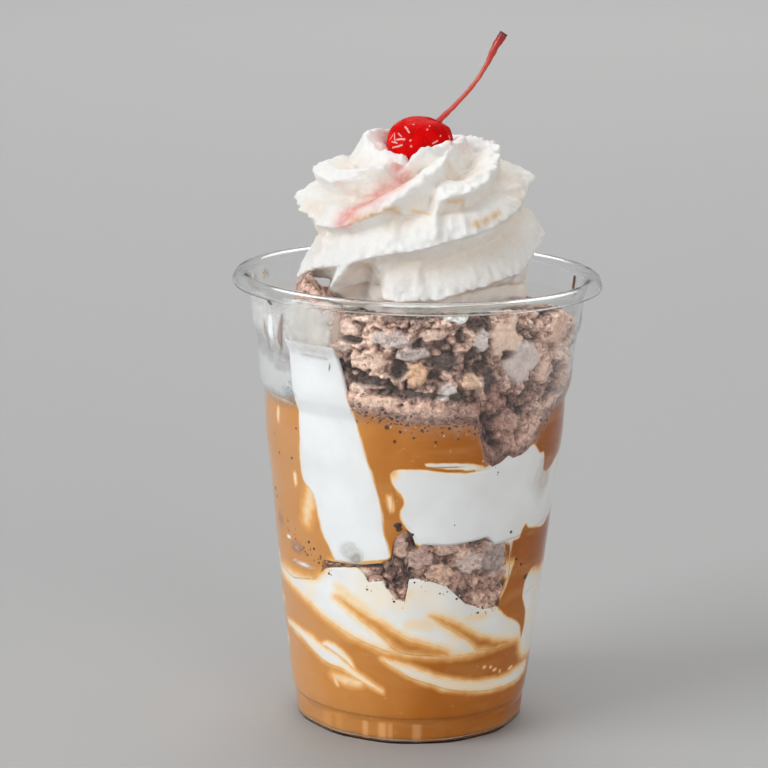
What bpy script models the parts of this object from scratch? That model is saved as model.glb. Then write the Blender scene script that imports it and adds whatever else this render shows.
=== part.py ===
"""Parfait in a clear plastic cup: sauce, cream and crumble layers, piped cream, cherry.

Every length below is in millimetres and is turned into metres when a mesh is made.
Angles round the cup are in degrees: 0 faces -Y (the front) and 90 faces +X.
"""

import math
import random

import bmesh
import bpy
from mathutils import Vector

MM = 0.001
GAP = 0.3

# cup
CUP_SEGMENTS = 36
WALL = 0.6
CUP_SIDE = [
    (0.8, 30.7), (6.2, 31.2), (8.5, 31.9), (12.0, 32.4), (30.0, 34.6), (79.0, 39.8),
    (89.0, 40.2), (92.5, 41.4), (105.0, 42.6), (107.5, 43.5), (114.0, 44.2),
]
STAND_INNER = 27.0
STAND_OUTER = 29.6
RECESS = 1.6
FLUTES = 12
FLUTE_DEPTH = 0.22
FLUTE_TOP = 6.2
RIM_CENTRE = (46.6, 119.2)
RIM_RADIUS = 2.4
RIM_END = -15.0
RIM_STEPS = 6

# contents
FLOOR = 2.5
LAYER_SEGMENTS = 48
BAND_STEP = 7.0
ROW_STEP = 0.4
CREAM_BASE = 114.8
CRUMBLE_TOP = 114.4
PLATEAU = 0.72
POCKET_X = -31.4

# heights of the layer borders where they meet the wall, as (angle, height)
SAUCE_BASE_TOP = [
    (-90, 41), (-60, 38.5), (-50, 36.5), (-40, 33.3), (-30, 30.8), (-20, 28.5), (-10, 26.7),
    (0, 26), (30, 25), (45, 26.5), (60, 25.5), (63, 19.5), (90, 18), (135, 22), (180, 30),
    (225, 38),
]
CREAM_LOWER_TOP = [
    (-90, 43), (-60, 41.5), (-45, 43.5), (-38, 47.3), (-23, 48.3), (-18, 45.5), (-12, 45.6),
    (-6, 41), (-2, 40.5), (2, 46.7), (10, 46), (15, 45), (20, 42), (26, 39), (36, 37),
    (50, 37.5), (90, 43), (180, 46),
]
CRUMBLE_LOWER_TOP = [
    (-90, 45.5), (-60, 46), (-48, 49.5), (-33, 50), (-12, 51.5), (-8, 55), (-6, 59), (-2, 61),
    (0, 60), (3, 56.5), (15, 56.5), (32, 58), (36, 55.7), (60, 57), (90, 60), (180, 54),
]
SAUCE_UPPER_TOP = [
    (-90, 92), (-60, 90.5), (-29, 91), (-22, 92), (-12, 91.5), (0, 89.5), (20, 89), (24, 88),
    (28, 79), (31, 77), (38, 79.5), (42, 78), (48, 80), (55, 85), (70, 91), (90, 97),
    (135, 96), (180, 93),
]
CRUMBLE_UPPER_TOP = [
    (-90, 108), (-50, 108), (-28, 116), (0, 117.5), (40, 118), (58, 117), (68, 112),
    (76, 109), (110, 109), (150, 109.5), (210, 109.5),
]
CREAM_MIDDLE_TOP = [
    (-9, 76), (-5, 77), (5, 77), (15, 76), (30, 76), (35, 78), (50, 79.5), (53, 81),
    (57, 77.5), (61, 72), (70, 73), (80, 76), (104, 75),
]
CREAM_MIDDLE_LOW = [
    (-9, 73), (-5, 66), (-3, 62.5), (0, 60.6), (3, 57.2),
]
CREAM_MIDDLE_SPAN = (-9, 104)
CREAM_MIDDLE_HEART = 5.0
CENTRE_HEIGHTS = {"sauce_base": 27, "cream_lower": 44, "crumble_lower": 55,
                  "cream_middle": 76, "sauce_upper": 90}

# cream and sauce that lie against the wall: borders as (angle, low, high)
RIBBON_FRONT = [
    (-11, 23.6, 24.6), (-4, 21.2, 23.8), (0, 19.5, 23), (10, 17.5, 20.5), (20, 15.5, 18.8),
    (30, 14.2, 17.5), (45, 13.4, 16.6), (60, 13.3, 17), (75, 14, 17.9),
]
RIBBON_LEFT = [
    (-75, 26, 28), (-60, 25.5, 28), (-50, 22.5, 27), (-42, 20.5, 25), (-32, 20, 22.7),
    (-25, 18, 20.3), (-20, 16.5, 18.2), (-12, 14.6, 15.4),
]
RIBBON_LEFT_CURL = [
    (-43, 25.3, 26), (-39, 25.2, 27), (-35, 24.1, 26.8), (-30, 21.9, 24.6), (-26, 19.4, 21.4),
]
SAUCE_SWIRL_LEFT = [
    (-38, 38.9, 40.8), (-30, 37.3, 40), (-20, 33.3, 37), (-10, 29.4, 34.5), (-5, 27.6, 32),
    (0, 26.7, 30.3), (10, 26.4, 28.8), (18, 26.2, 26.9),
]
SAUCE_SWIRL_RIGHT = [
    (9, 36.6, 37.5), (20, 32, 34.9), (27, 28.9, 32), (31, 26.3, 30.8), (40, 27, 28.6),
]
RIBBON_DEPTH = 4.0

# the same, standing upright: borders as (height, left angle, right angle, depth)
STREAK = [
    (51.2, -31, -13, 5), (53, -35, -9, 6), (56, -38, -9.5, 7), (60, -40, -11, 8),
    (67, -42.5, -12, 8), (78, -48, -16.8, 8), (89, -48.4, -21.6, 7),
    (92.5, -49, -23, 6.5), (104.5, -51, -27.5, 3.8), (108, -51.5, -28.5, 3),
]
SAUCE_RIGHT = [
    (28, 58, 61, 4), (31, 54, 61.5, 5), (34, 46, 61.5, 6), (37, 42.5, 58.5, 6),
    (41, 42.5, 57.5, 6), (46, 46, 60, 6), (51, 48.5, 62, 6), (56, 50, 64, 5),
]

# crumbs fused onto the crumble
CRUMB_SEED = 51
UPPER_CRUMBS = 40
TOP_CRUMBS = 7
LOWER_CRUMBS = 14
CRUMB_RADIUS = (2.6, 5.2)
CRUMB_INSET = 0.9
CRUMB_MARGIN = 0.7

# piped cream: a dome of revolution with ridges that climb round it
SWIRL_CENTRE = (0.3, -1.0)
SWIRL_PROFILE = [
    (25, 113.5), (29, 116.5), (31.5, 119.5), (32.5, 126), (32.8, 134), (32.3, 142),
    (30, 147.5), (26.5, 152), (21.5, 155.5), (14, 158), (0, 159.5),
]
# each ridge as (angle, distance up the profile); angles over 270 are on its next turn
RIDGE_LONG = [
    (110, 4), (200, 10), (270, 12.8), (294, 15.6), (317, 16.8), (333, 20.2), (356, 22.5), (374, 25.5),
    (393, 28), (403, 30), (413, 33), (435, 38), (540, 39.5), (630, 40), (669, 38.5),
    (687, 44), (696, 45.5), (699, 49), (712, 53.5), (800, 60),
]
RIDGE_SHORT = [
    (-19.5, -2), (-18.5, 9.6), (5, 9.4), (28, 13), (53, 15.6), (68, 20.5), (80, 22.6),
    (180, 26.5), (270, 31), (303, 27.2), (315, 26.6), (328, 28.4), (338, 31.1), (351, 36.4),
    (362, 41.9), (374, 46), (384, 54), (400, 57), (430, 59),
]
RIDGE_BRANCH = [
    (6.8, 24), (7.9, 31), (9.6, 35.9), (26, 37.7), (37, 40.5), (48, 43.6), (69, 49.4),
    (90, 51), (200, 53), (350, 59),
]
RIDGE_FOLD = [(-39.5, -2), (-38.5, 10.7), (-32.6, 15.9), (-27, 20.5)]
GROOVE_SHARE = 0.45
GROOVE_MOST = 6.5
GROOVE_BLUR = 2.0
CREST_DROOP = 1.3
FRONT_DROP = 3.5
FRONT_NOTCH = (-15.0, 10.0, 3.0)
SWIRL_ANGLES = 200
SWIRL_ROWS = 100
CREAM_VOXEL = 0.7
CREAM_FACES = 2600

# cherry
CHERRY_CENTRE = (0.0, -1.0, 153.4)
CHERRY_RADIUS = 9.0
DIMPLE_AT = (4.2, -1.0, 161.2)
DIMPLE_RADIUS = 3.4
DIMPLE_DEPTH = 1.5
STEM_PATH = [(4.0, -1, 160.7), (8.8, -1, 165.6), (13.9, -1, 171.4), (17.1, -1, 176.9),
             (18.6, -1, 180.6), (21.0, -1, 184.6)]
STEM_RADII = [0.85, 0.6, 0.55, 0.6, 0.95, 1.15]
STEM_SIDES = 12

COLOURS = {
    "cup": (0.86, 0.9, 0.92), "sauce": (0.5, 0.2, 0.045), "cream": (0.86, 0.83, 0.77),
    "crumble": (0.26, 0.16, 0.11), "cherry": (0.7, 0.006, 0.008), "stem": (0.55, 0.12, 0.05),
}


def interpolate(table, x):
    """Value of a table of (position, value) at x, held beyond its ends."""
    if x <= table[0][0]:
        return table[0][1]
    for (x0, v0), (x1, v1) in zip(table, table[1:]):
        if x <= x1:
            return v0 + (v1 - v0) * (x - x0) / (x1 - x0)
    return table[-1][1]


def around(table, angle):
    """Value of a table that runs once round the cup from -90 degrees."""
    angle = (angle + 90) % 360 - 90
    return interpolate(table + [(270, table[0][1])], angle)


def inner_radius(z):
    flutes = FLUTE_DEPTH if z < CUP_SIDE[2][0] else 0
    return interpolate(CUP_SIDE, z) - WALL - flutes


def content_radius(z):
    return inner_radius(max(z, 3.0)) - GAP


def at_wall(angle, radius, z):
    turn = math.radians(angle)
    return Vector((radius * math.sin(turn), -radius * math.cos(turn), z))


def material(name, kind):
    made = bpy.data.materials.new(name)
    made.use_nodes = True
    shader = made.node_tree.nodes["Principled BSDF"]
    shader.inputs["Base Color"].default_value = (*COLOURS[kind], 1)
    shader.inputs["Roughness"].default_value = 0.5
    made.diffuse_color = (*COLOURS[kind], 1)
    if kind == "cup":
        shader.inputs["Roughness"].default_value = 0.08
        shader.inputs["Transmission Weight"].default_value = 0.9
        shader.inputs["IOR"].default_value = 1.5
    if kind in ("cherry", "sauce"):
        shader.inputs["Roughness"].default_value = 0.2
    return made


def build(name, points, faces, kind=None):
    """Makes a closed mesh from points in millimetres, with its faces turned outwards."""
    split = []
    for face in faces:
        split += [face] if len(face) != 4 else [face[:3], (face[0], face[2], face[3])]
    mesh = bpy.data.meshes.new(name)
    mesh.from_pydata([Vector(p) * MM for p in points], [], split)
    work = bmesh.new()
    work.from_mesh(mesh)
    bmesh.ops.recalc_face_normals(work, faces=work.faces)
    bmesh.ops.triangulate(work, faces=[f for f in work.faces if len(f.verts) > 4])
    work.to_mesh(mesh)
    work.free()
    made = bpy.data.objects.new(name, mesh)
    bpy.context.scene.collection.objects.link(made)
    if kind:
        mesh.materials.append(material(name, kind))
    return made


def settle(target):
    """Applies an object's modifiers."""
    depsgraph = bpy.context.evaluated_depsgraph_get()
    mesh = bpy.data.meshes.new_from_object(target.evaluated_get(depsgraph))
    old = target.data
    target.modifiers.clear()
    target.data = mesh
    bpy.data.meshes.remove(old)


def combine(target, cutter, operation, keep=False):
    """Applies a Boolean with one object and removes that object."""
    step = target.modifiers.new("step", "BOOLEAN")
    step.operation = operation
    step.solver = "MANIFOLD"
    step.object = cutter
    settle(target)
    if not keep:
        bpy.data.objects.remove(cutter)


def fuse_all(target, pieces):
    """Joins a list of overlapping pieces onto an object and removes them."""
    group = bpy.data.collections.new("pieces")
    bpy.context.scene.collection.children.link(group)
    for piece in pieces:
        group.objects.link(piece)
    step = target.modifiers.new("step", "BOOLEAN")
    step.operation = "UNION"
    step.solver = "MANIFOLD"
    step.operand_type = "COLLECTION"
    step.collection = group
    settle(target)
    for piece in pieces:
        bpy.data.objects.remove(piece)
    bpy.data.collections.remove(group)


def bodies(work):
    """The connected sets of vertices of a mesh, largest first."""
    left = set(work.verts)
    found = []
    while left:
        body = {left.pop()}
        front = list(body)
        while front:
            vert = front.pop()
            near = {edge.other_vert(vert) for edge in vert.link_edges} - body
            body |= near
            front += near
        left -= body
        found.append(body)
    return sorted(found, key=len, reverse=True)


def tidy(target, smooth_angle=35.0):
    """Drops slivers and offcuts, faces outwards and shades round areas smooth."""
    work = bmesh.new()
    work.from_mesh(target.data)
    bmesh.ops.remove_doubles(work, verts=work.verts, dist=0.00001)
    bmesh.ops.dissolve_degenerate(work, edges=work.edges, dist=0.000005)
    for offcut in bodies(work)[1:]:
        bmesh.ops.delete(work, geom=list(offcut), context="VERTS")
    bmesh.ops.recalc_face_normals(work, faces=work.faces)
    for face in work.faces:
        face.smooth = True
    for edge in work.edges:
        flat = len(edge.link_faces) == 2 and edge.calc_face_angle(0) < math.radians(smooth_angle)
        edge.smooth = flat
    work.to_mesh(target.data)
    work.free()


def cup():
    """The cup: fluted foot, stepped side and an open rolled rim."""
    outside = [(STAND_INNER - 0.7, RECESS), (STAND_INNER, 0), (STAND_OUTER, 0)]
    outside += [(r, z) for z, r in CUP_SIDE]
    inside = [(STAND_INNER - 0.4, RECESS + WALL), (STAND_INNER + 0.4, WALL + 0.1)]
    inside += [(STAND_OUTER - 0.4, WALL + 0.1), (CUP_SIDE[0][1] - WALL, 1.9)]
    inside += [(r - WALL, z) for z, r in CUP_SIDE[1:]]
    turns = [180 - step * (180 - RIM_END) / RIM_STEPS for step in range(RIM_STEPS + 1)]
    for turn in turns:
        way = (math.cos(math.radians(turn)), math.sin(math.radians(turn)))
        for side, radius in ((outside, RIM_RADIUS - WALL), (inside, RIM_RADIUS)):
            side.append((RIM_CENTRE[0] + radius * way[0], RIM_CENTRE[1] + radius * way[1]))
    profile = outside + inside[::-1]
    points = []
    for r, z in profile:
        for k in range(CUP_SEGMENTS):
            angle = 360 * k / CUP_SEGMENTS
            wave = math.sin(math.radians(angle * FLUTES))
            on_side = STAND_OUTER < r < 31.5 and z < FLUTE_TOP
            points.append(at_wall(angle, r - (FLUTE_DEPTH * wave if on_side else 0), z))
    faces = []
    rows = len(profile)
    for j in range(rows - 1):
        for k in range(CUP_SEGMENTS):
            n = (k + 1) % CUP_SEGMENTS
            a, b = j * CUP_SEGMENTS, (j + 1) * CUP_SEGMENTS
            faces.append((a + k, a + n, b + n, b + k))
    faces.append(tuple(range(CUP_SEGMENTS)))
    faces.append(tuple((rows - 1) * CUP_SEGMENTS + k for k in range(CUP_SEGMENTS)))
    return build("cup", points, faces, "cup")


def blend(table, centre, share, angle):
    """Height of a layer border at a share of the way from the axis to the wall."""
    return centre + (around(table, angle) - centre) * share


def layer(name, kind, low, high, shares, side_rows, grow=0.0, heart=0.0, span=None,
          inset=0.0):
    """A slab between two borders; low and high give the height at (share, angle)."""
    angles = [360 * k / LAYER_SEGMENTS for k in range(LAYER_SEGMENTS)]
    if span:
        angles = [turn for a in angles for turn in (a - 360, a) if span[0] < turn < span[1]]
        angles = [span[0], *sorted(angles), span[1]]
    columns = []
    points = []

    def add(angle, share, z):
        reach = content_radius(z) + grow * 3 - inset
        points.append(at_wall(angle, max(heart, share * reach), z))
        return len(points) - 1

    for angle in angles:
        bottoms = [low(share, angle) - grow for share in shares]
        tops = [high(share, angle) + grow for share in shares]
        column = [add(angle, share, z) for share, z in zip(shares, bottoms)]
        for k, row in enumerate(side_rows):
            least = bottoms[-1] + ROW_STEP * (k + 1)
            most = tops[-1] - ROW_STEP * (len(side_rows) - k)
            column.append(add(angle, 1, min(max(row, least), most)))
        column += [add(angle, share, z) for share, z in zip(shares[::-1], tops[::-1])]
        columns.append(column)
    faces = []
    turns = range(len(columns) if not span else len(columns) - 1)
    for k in turns:
        here, there = columns[k], columns[(k + 1) % len(columns)]
        for j in range(len(here) - 1):
            faces.append((here[j], there[j], there[j + 1], here[j + 1]))
        if span:
            faces.append((here[-1], there[-1], there[0], here[0]))
    if span:
        faces += [tuple(columns[0]), tuple(columns[-1])]
    else:
        for j, z in ((0, low(0, 0) - grow), (-1, high(0, 0) + grow)):
            points.append(Vector((0, 0, z)))
            middle = len(points) - 1
            for k in turns:
                faces.append((columns[k][j], columns[(k + 1) % len(columns)][j], middle))
    return build(name, points, faces, kind)


def prism(name, kind, rows, grow):
    """A bar against the wall from rows of (low corner, high corner, depth)."""
    points = []
    for low, high, depth in rows:
        for angle, z in (low, high):
            outer = content_radius(z) + grow * 4
            points.append(at_wall(angle, outer, z))
            points.append(at_wall(angle, content_radius(z) - depth - grow, z))
    faces = []
    for j in range(len(rows) - 1):
        a, b = 4 * j, 4 * j + 4
        faces += [(a, a + 2, b + 2, b), (a + 1, b + 1, b + 3, a + 3)]
        faces += [(a, b, b + 1, a + 1), (a + 2, a + 3, b + 3, b + 2)]
    end = 4 * (len(rows) - 1)
    faces += [(0, 1, 3, 2), (end, end + 2, end + 3, end + 1)]
    return build(name, points, faces, kind)


def lying_band(name, kind, table, grow=0.0):
    """A ribbon that runs round the wall."""
    lows = [(angle, low) for angle, low, high in table]
    highs = [(angle, high) for angle, low, high in table]
    first, last = table[0][0], table[-1][0]
    count = math.ceil((last - first) / BAND_STEP)
    angles = sorted({first + (last - first) * k / count for k in range(count + 1)})
    rows = []
    for index, angle in enumerate(angles):
        low, high = interpolate(lows, angle) - grow, interpolate(highs, angle) + grow
        ends = {0: -1, len(angles) - 1: 1}
        out = angle + ends.get(index, 0) * math.degrees(grow / 35)
        rows.append(((out, low), (out, high), RIBBON_DEPTH))
    return prism(name, kind, rows, grow)


def standing_band(name, kind, table, grow=0.0):
    """A streak that stands up against the wall, split across so that it follows the curve."""
    points = []
    across = 4
    for index, (z, left, right, depth) in enumerate(table):
        level = z + (grow if index == len(table) - 1 else -grow if index == 0 else 0)
        extra = math.degrees(grow / content_radius(z))
        angles = [left - extra + (right - left + 2 * extra) * k / across
                  for k in range(across + 1)]
        for angle in angles:
            points.append(at_wall(angle, content_radius(level) + grow * 4, level))
        for angle in angles[::-1]:
            points.append(at_wall(angle, content_radius(level) - depth - grow, level))
    loop = 2 * (across + 1)
    faces = []
    for j in range(len(table) - 1):
        for k in range(loop):
            n = (k + 1) % loop
            faces.append((j * loop + k, j * loop + n, (j + 1) * loop + n, (j + 1) * loop + k))
    for base in (0, (len(table) - 1) * loop):
        for k in range(across):
            faces.append((base + k, base + k + 1, base + loop - 2 - k, base + loop - 1 - k))
    return build(name, points, faces, kind)


def crumb(rng, centre, radius, floor, ceiling):
    """One lump with few sides, kept inside the wall and between two borders."""
    work = bmesh.new()
    bmesh.ops.create_icosphere(work, subdivisions=1, radius=1)
    squash = Vector((rng.uniform(0.8, 1.2), rng.uniform(0.8, 1.2), rng.uniform(0.65, 1.0)))
    points = []
    for vert in work.verts:
        spot = vert.co * radius * rng.uniform(0.85, 1.2)
        spot = centre + Vector((spot.x * squash.x, spot.y * squash.y, spot.z * squash.z))
        flat = Vector((spot.x, spot.y))
        angle = math.degrees(math.atan2(flat.x, -flat.y))
        share = min(1, flat.length / content_radius(spot.z))
        least = floor(share, angle) + CRUMB_MARGIN
        spot.z = max(min(spot.z, ceiling(share, angle) - CRUMB_MARGIN), least)
        reach = content_radius(spot.z - 3)
        if flat.length > reach:
            flat *= reach / flat.length
        points.append((flat.x, flat.y, spot.z))
    faces = [tuple(v.index for v in f.verts) for f in work.faces]
    work.free()
    return build("crumb", points, faces)


def upper_border(share, angle):
    """Top of the upper crumble: level under the piped cream, rising to the wall."""
    wall = around(CRUMBLE_UPPER_TOP, angle)
    edge = max(0.0, (share - PLATEAU) / (1 - PLATEAU))
    return CRUMBLE_TOP + (wall - CRUMBLE_TOP) * edge


def crumb_limit(share, angle):
    """Highest that a lump may reach: under the piped cream it stays below its flat base."""
    return upper_border(share, angle) + (3 if share > 0.69 and angle < 0 else 1) * CRUMB_MARGIN


def borders(name, table):
    return lambda share, angle: blend(table, CENTRE_HEIGHTS[name], share, angle)


def above(border):
    return lambda share, angle: border(share, angle) + GAP / 2


def below(border):
    return lambda share, angle: border(share, angle) - GAP / 2


def contents():
    """The layers, then what lies against the wall, cut out of them with a thin gap."""
    base_top = borders("sauce_base", SAUCE_BASE_TOP)
    lower_top = borders("cream_lower", CREAM_LOWER_TOP)
    crumb_top = borders("crumble_lower", CRUMBLE_LOWER_TOP)
    upper_top = borders("sauce_upper", SAUCE_UPPER_TOP)
    middle_top = lambda share, angle: blend_open(CREAM_MIDDLE_TOP, "cream_middle", share, angle)

    def middle_low(share, angle):
        rest = crumb_top(share, angle) + GAP
        raised = interpolate(CREAM_MIDDLE_LOW + [(6, 0)], angle)
        return max(rest, raised if angle < 3 else rest)

    plain = [0.5, 1]
    made = {
        "sauce_base": layer("sauce_base", "sauce", lambda s, a: FLOOR, below(base_top), plain,
                            [6.2, 9]),
        "cream_lower": layer("cream_lower", "cream", above(base_top), below(lower_top), plain,
                             []),
        "crumble_lower": layer("crumble_lower", "crumble", above(lower_top), below(crumb_top),
                               plain, [], inset=CRUMB_INSET),
        "sauce_upper": layer("sauce_upper", "sauce", above(crumb_top), below(upper_top), plain,
                             [79, 89]),
        "crumble_upper": layer("crumble_upper", "crumble", above(upper_top), upper_border,
                               [0.4, PLATEAU, 1], [92.5, 106], inset=CRUMB_INSET),
    }
    middle = dict(shares=[0.12, 0.5, 1], side_rows=[], heart=CREAM_MIDDLE_HEART)
    made["cream_middle"] = layer("cream_middle", "cream", middle_low, middle_top,
                                 span=CREAM_MIDDLE_SPAN, **middle)
    add_crumbs(made, upper_top, lower_top, crumb_top)

    start, end = CREAM_MIDDLE_SPAN
    middle["heart"] = CREAM_MIDDLE_HEART - 0.4
    cutter = layer("cutter", None, lambda s, a: middle_low(s, a) - GAP, middle_top, grow=GAP,
                   span=(start - 0.5, end + 0.5), **middle)
    combine(made["sauce_upper"], cutter, "DIFFERENCE", keep=True)
    combine(made["crumble_upper"], cutter, "DIFFERENCE")

    lying = {
        "cream_ribbon_front": ("cream", RIBBON_FRONT),
        "cream_ribbon_left": ("cream", RIBBON_LEFT),
        "sauce_swirl_left": ("sauce", SAUCE_SWIRL_LEFT),
        "sauce_swirl_right": ("sauce", SAUCE_SWIRL_RIGHT),
    }
    for name, (kind, table) in lying.items():
        made[name] = lying_band(name, kind, table)
    curl = lying_band("curl", None, RIBBON_LEFT_CURL)
    combine(made["cream_ribbon_left"], curl, "UNION")
    made["cream_streak"] = standing_band("cream_streak", "cream", STREAK)
    made["sauce_right"] = standing_band("sauce_right", "sauce", SAUCE_RIGHT)
    cuts = [
        (lying_band, RIBBON_FRONT, ["sauce_base", "cream_lower"]),
        (lying_band, RIBBON_LEFT, ["sauce_base"]),
        (lying_band, RIBBON_LEFT_CURL, ["sauce_base"]),
        (lying_band, SAUCE_SWIRL_LEFT, ["sauce_base", "cream_lower"]),
        (lying_band, SAUCE_SWIRL_RIGHT, ["sauce_base", "cream_lower"]),
        (standing_band, STREAK, ["crumble_lower", "sauce_upper", "crumble_upper",
                                 "cream_middle"]),
        (standing_band, SAUCE_RIGHT, ["cream_lower", "crumble_lower", "sauce_base",
                                      "cream_middle"]),
    ]
    for shape, table, hosts in cuts:
        for host in hosts:
            combine(made[host], shape("cutter", None, table, grow=GAP), "DIFFERENCE")
    return made


def blend_open(table, name, share, angle):
    """As blend, for a border that doesn't go all the way round."""
    return CENTRE_HEIGHTS[name] + (interpolate(table, angle) - CENTRE_HEIGHTS[name]) * share


def add_crumbs(made, upper_top, lower_top, crumb_top):
    """Fuses lumps onto the crumble where it shows: at the wall and round the piped cream."""
    rng = random.Random(CRUMB_SEED)
    lumps = []
    for k in range(UPPER_CRUMBS):
        angle = -26 + (k * 0.618034 % 1) * 120
        low = upper_top(1, angle)
        z = low + 3.5 + rng.random() * (around(CRUMBLE_UPPER_TOP, angle) - low - 5)
        radius = rng.uniform(*CRUMB_RADIUS)
        reach = content_radius(z) - radius * rng.uniform(0.1, 0.5)
        lumps.append(crumb(rng, at_wall(angle, reach, z), radius, upper_top, crumb_limit))
    for k in range(TOP_CRUMBS):
        spot = at_wall(-92 + 9 * k, 29.5, CRUMBLE_TOP + 0.3)
        lumps.append(crumb(rng, spot, rng.uniform(2.2, 3), upper_top, crumb_limit))
    fuse_all(made["crumble_upper"], lumps)
    lumps = []
    for k in range(LOWER_CRUMBS):
        angle = 2 + (k * 0.618034 % 1) * 40
        low, high = lower_top(1, angle), crumb_top(1, angle)
        z = low + (high - low) * rng.uniform(0.3, 0.7)
        radius = rng.uniform(2.2, 3.4)
        spot = at_wall(angle, content_radius(z) - radius * 0.4, z)
        lumps.append(crumb(rng, spot, radius, lower_top, crumb_top))
    fuse_all(made["crumble_lower"], lumps)
    box = bpy.data.objects.new("pocket", bpy.data.meshes.new("pocket"))
    bpy.context.scene.collection.objects.link(box)
    work = bmesh.new()
    bmesh.ops.create_cube(work, size=1)
    for vert in work.verts:
        vert.co = Vector((-50 if vert.co.x < 0 else POCKET_X, vert.co.y * 120,
                          80 if vert.co.z < 0 else 130)) * MM
    work.to_mesh(box.data)
    work.free()
    combine(made["crumble_upper"], box, "DIFFERENCE")


def path_lengths(profile):
    """Distance along a profile at each of its points."""
    lengths = [0.0]
    for (r0, z0), (r1, z1) in zip(profile, profile[1:]):
        lengths.append(lengths[-1] + math.hypot(r1 - r0, z1 - z0))
    return lengths


def ridges_at(angle, top):
    """How far up the profile each ridge lies at an angle."""
    found = [-4.0, top + 6]
    for table in (RIDGE_LONG, RIDGE_SHORT, RIDGE_BRANCH, RIDGE_FOLD):
        for turn in range(-1, 4):
            place = angle + 360 * turn
            if table[0][0] <= place <= table[-1][0]:
                found.append(interpolate(table, place))
    return sorted(found)


def groove(height, ridges):
    """Depth of the groove at a distance up the profile: steep under the upper ridge."""
    for low, high in zip(ridges, ridges[1:]):
        if height <= high:
            break
    width = high - low
    if width < 0.05:
        return 0.0
    share = (height - low) / width
    floor = 0.66 if width < 14 else 0.5
    rise = (share / floor) ** 1.2
    if share >= floor:
        rise = ((1 - share) / (1 - floor)) ** 0.75
    return min(GROOVE_MOST, GROOVE_SHARE * width) * rise


def swirl_points():
    """Columns of points on the ridged dome."""
    lengths = path_lengths(SWIRL_PROFILE)
    radii = [(s, r) for s, (r, z) in zip(lengths, SWIRL_PROFILE)]
    heights = [(s, z) for s, (r, z) in zip(lengths, SWIRL_PROFILE)]
    top = lengths[-1]
    rows = [(top - 0.8) * j / (SWIRL_ROWS - 1) for j in range(SWIRL_ROWS)]
    points = []
    for k in range(SWIRL_ANGLES):
        angle = -90 + 360 * k / SWIRL_ANGLES
        near = [ridges_at(angle + turn, top) for turn in (-GROOVE_BLUR, 0, GROOVE_BLUR)]
        wrapped = (angle + 180) % 360 - 180
        drop = FRONT_DROP / (1 + (wrapped / 40) ** 6)
        middle, spread, most = FRONT_NOTCH
        drop += most * math.exp(-((wrapped - middle) / spread) ** 2)
        for s in rows:
            depth = sum(groove(s, ridges) for ridges in near) / len(near)
            before, after = max(s - 3, 0), min(s + 3, top)
            run = interpolate(radii, after) - interpolate(radii, before)
            rise = interpolate(heights, after) - interpolate(heights, before)
            out = rise / math.hypot(run, rise)
            up = -run / math.hypot(run, rise)
            crest = max(0.0, 1 - depth / 2.5)
            z = interpolate(heights, s) - depth * up - CREST_DROOP * crest * out
            z -= drop * min(1.0, max(0.0, (s - 44) / 12))
            points.append(at_wall(angle, interpolate(radii, s) - depth * out, z))
    return points


def lathe(name, profile, sides):
    points = [at_wall(360 * k / sides, r, z) for r, z in profile[1:-1] for k in range(sides)]
    points += [Vector((0, 0, profile[0][1])), Vector((0, 0, profile[-1][1]))]
    rings = len(profile) - 2
    faces = []
    for k in range(sides):
        n = (k + 1) % sides
        for j in range(rings - 1):
            faces.append((j * sides + k, j * sides + n, (j + 1) * sides + n,
                          (j + 1) * sides + k))
        faces.append((k, n, rings * sides))
        faces.append(((rings - 1) * sides + k, (rings - 1) * sides + n, rings * sides + 1))
    return build(name, points, faces)


def piped_cream():
    """The piped cream, one closed body with a level underside and a seat for the cherry."""
    points = swirl_points()
    count = SWIRL_ROWS
    faces = []
    for k in range(SWIRL_ANGLES):
        n = (k + 1) % SWIRL_ANGLES
        for j in range(count - 1):
            faces.append((k * count + j, n * count + j, n * count + j + 1, k * count + j + 1))
        faces.append((k * count + count - 1, n * count + count - 1, len(points)))
        faces.append((n * count, k * count, len(points) + 1))
    points += [Vector((0, 0, 154)), Vector((0, 0, 112))]
    points = [p + Vector((*SWIRL_CENTRE, 0)) for p in points]
    made = build("whipped_cream", points, faces, "cream")
    skin = made.modifiers.new("skin", "REMESH")
    skin.mode = "VOXEL"
    skin.voxel_size = CREAM_VOXEL * MM
    thin = made.modifiers.new("thin", "DECIMATE")
    depsgraph = bpy.context.evaluated_depsgraph_get()
    thin.show_viewport = False
    count = len(made.evaluated_get(depsgraph).data.polygons) * 2
    thin.show_viewport = True
    thin.ratio = CREAM_FACES / max(count, CREAM_FACES)
    settle(made)
    block = lathe("block", [(0, CREAM_BASE), (60, CREAM_BASE), (60, 200), (0, 200)], 24)
    combine(made, block, "INTERSECT")
    seat = ball("seat", CHERRY_RADIUS + GAP, 3)
    combine(made, seat, "DIFFERENCE")
    return made


def ball(name, radius, steps, kind=None):
    work = bmesh.new()
    bmesh.ops.create_icosphere(work, subdivisions=steps, radius=radius)
    points = [v.co + Vector(CHERRY_CENTRE) for v in work.verts]
    faces = [tuple(v.index for v in f.verts) for f in work.faces]
    work.free()
    return build(name, points, faces, kind)


def cherry():
    """A ball with a dimple where the stem stands."""
    made = ball("cherry", CHERRY_RADIUS, 3, "cherry")
    dimple = Vector(DIMPLE_AT) * MM
    heart = Vector(CHERRY_CENTRE) * MM
    for vert in made.data.vertices:
        near = (vert.co - dimple).length / (DIMPLE_RADIUS * MM)
        if near < 1:
            vert.co += (heart - vert.co).normalized() * DIMPLE_DEPTH * MM * (1 - near * near)
    return made


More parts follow.
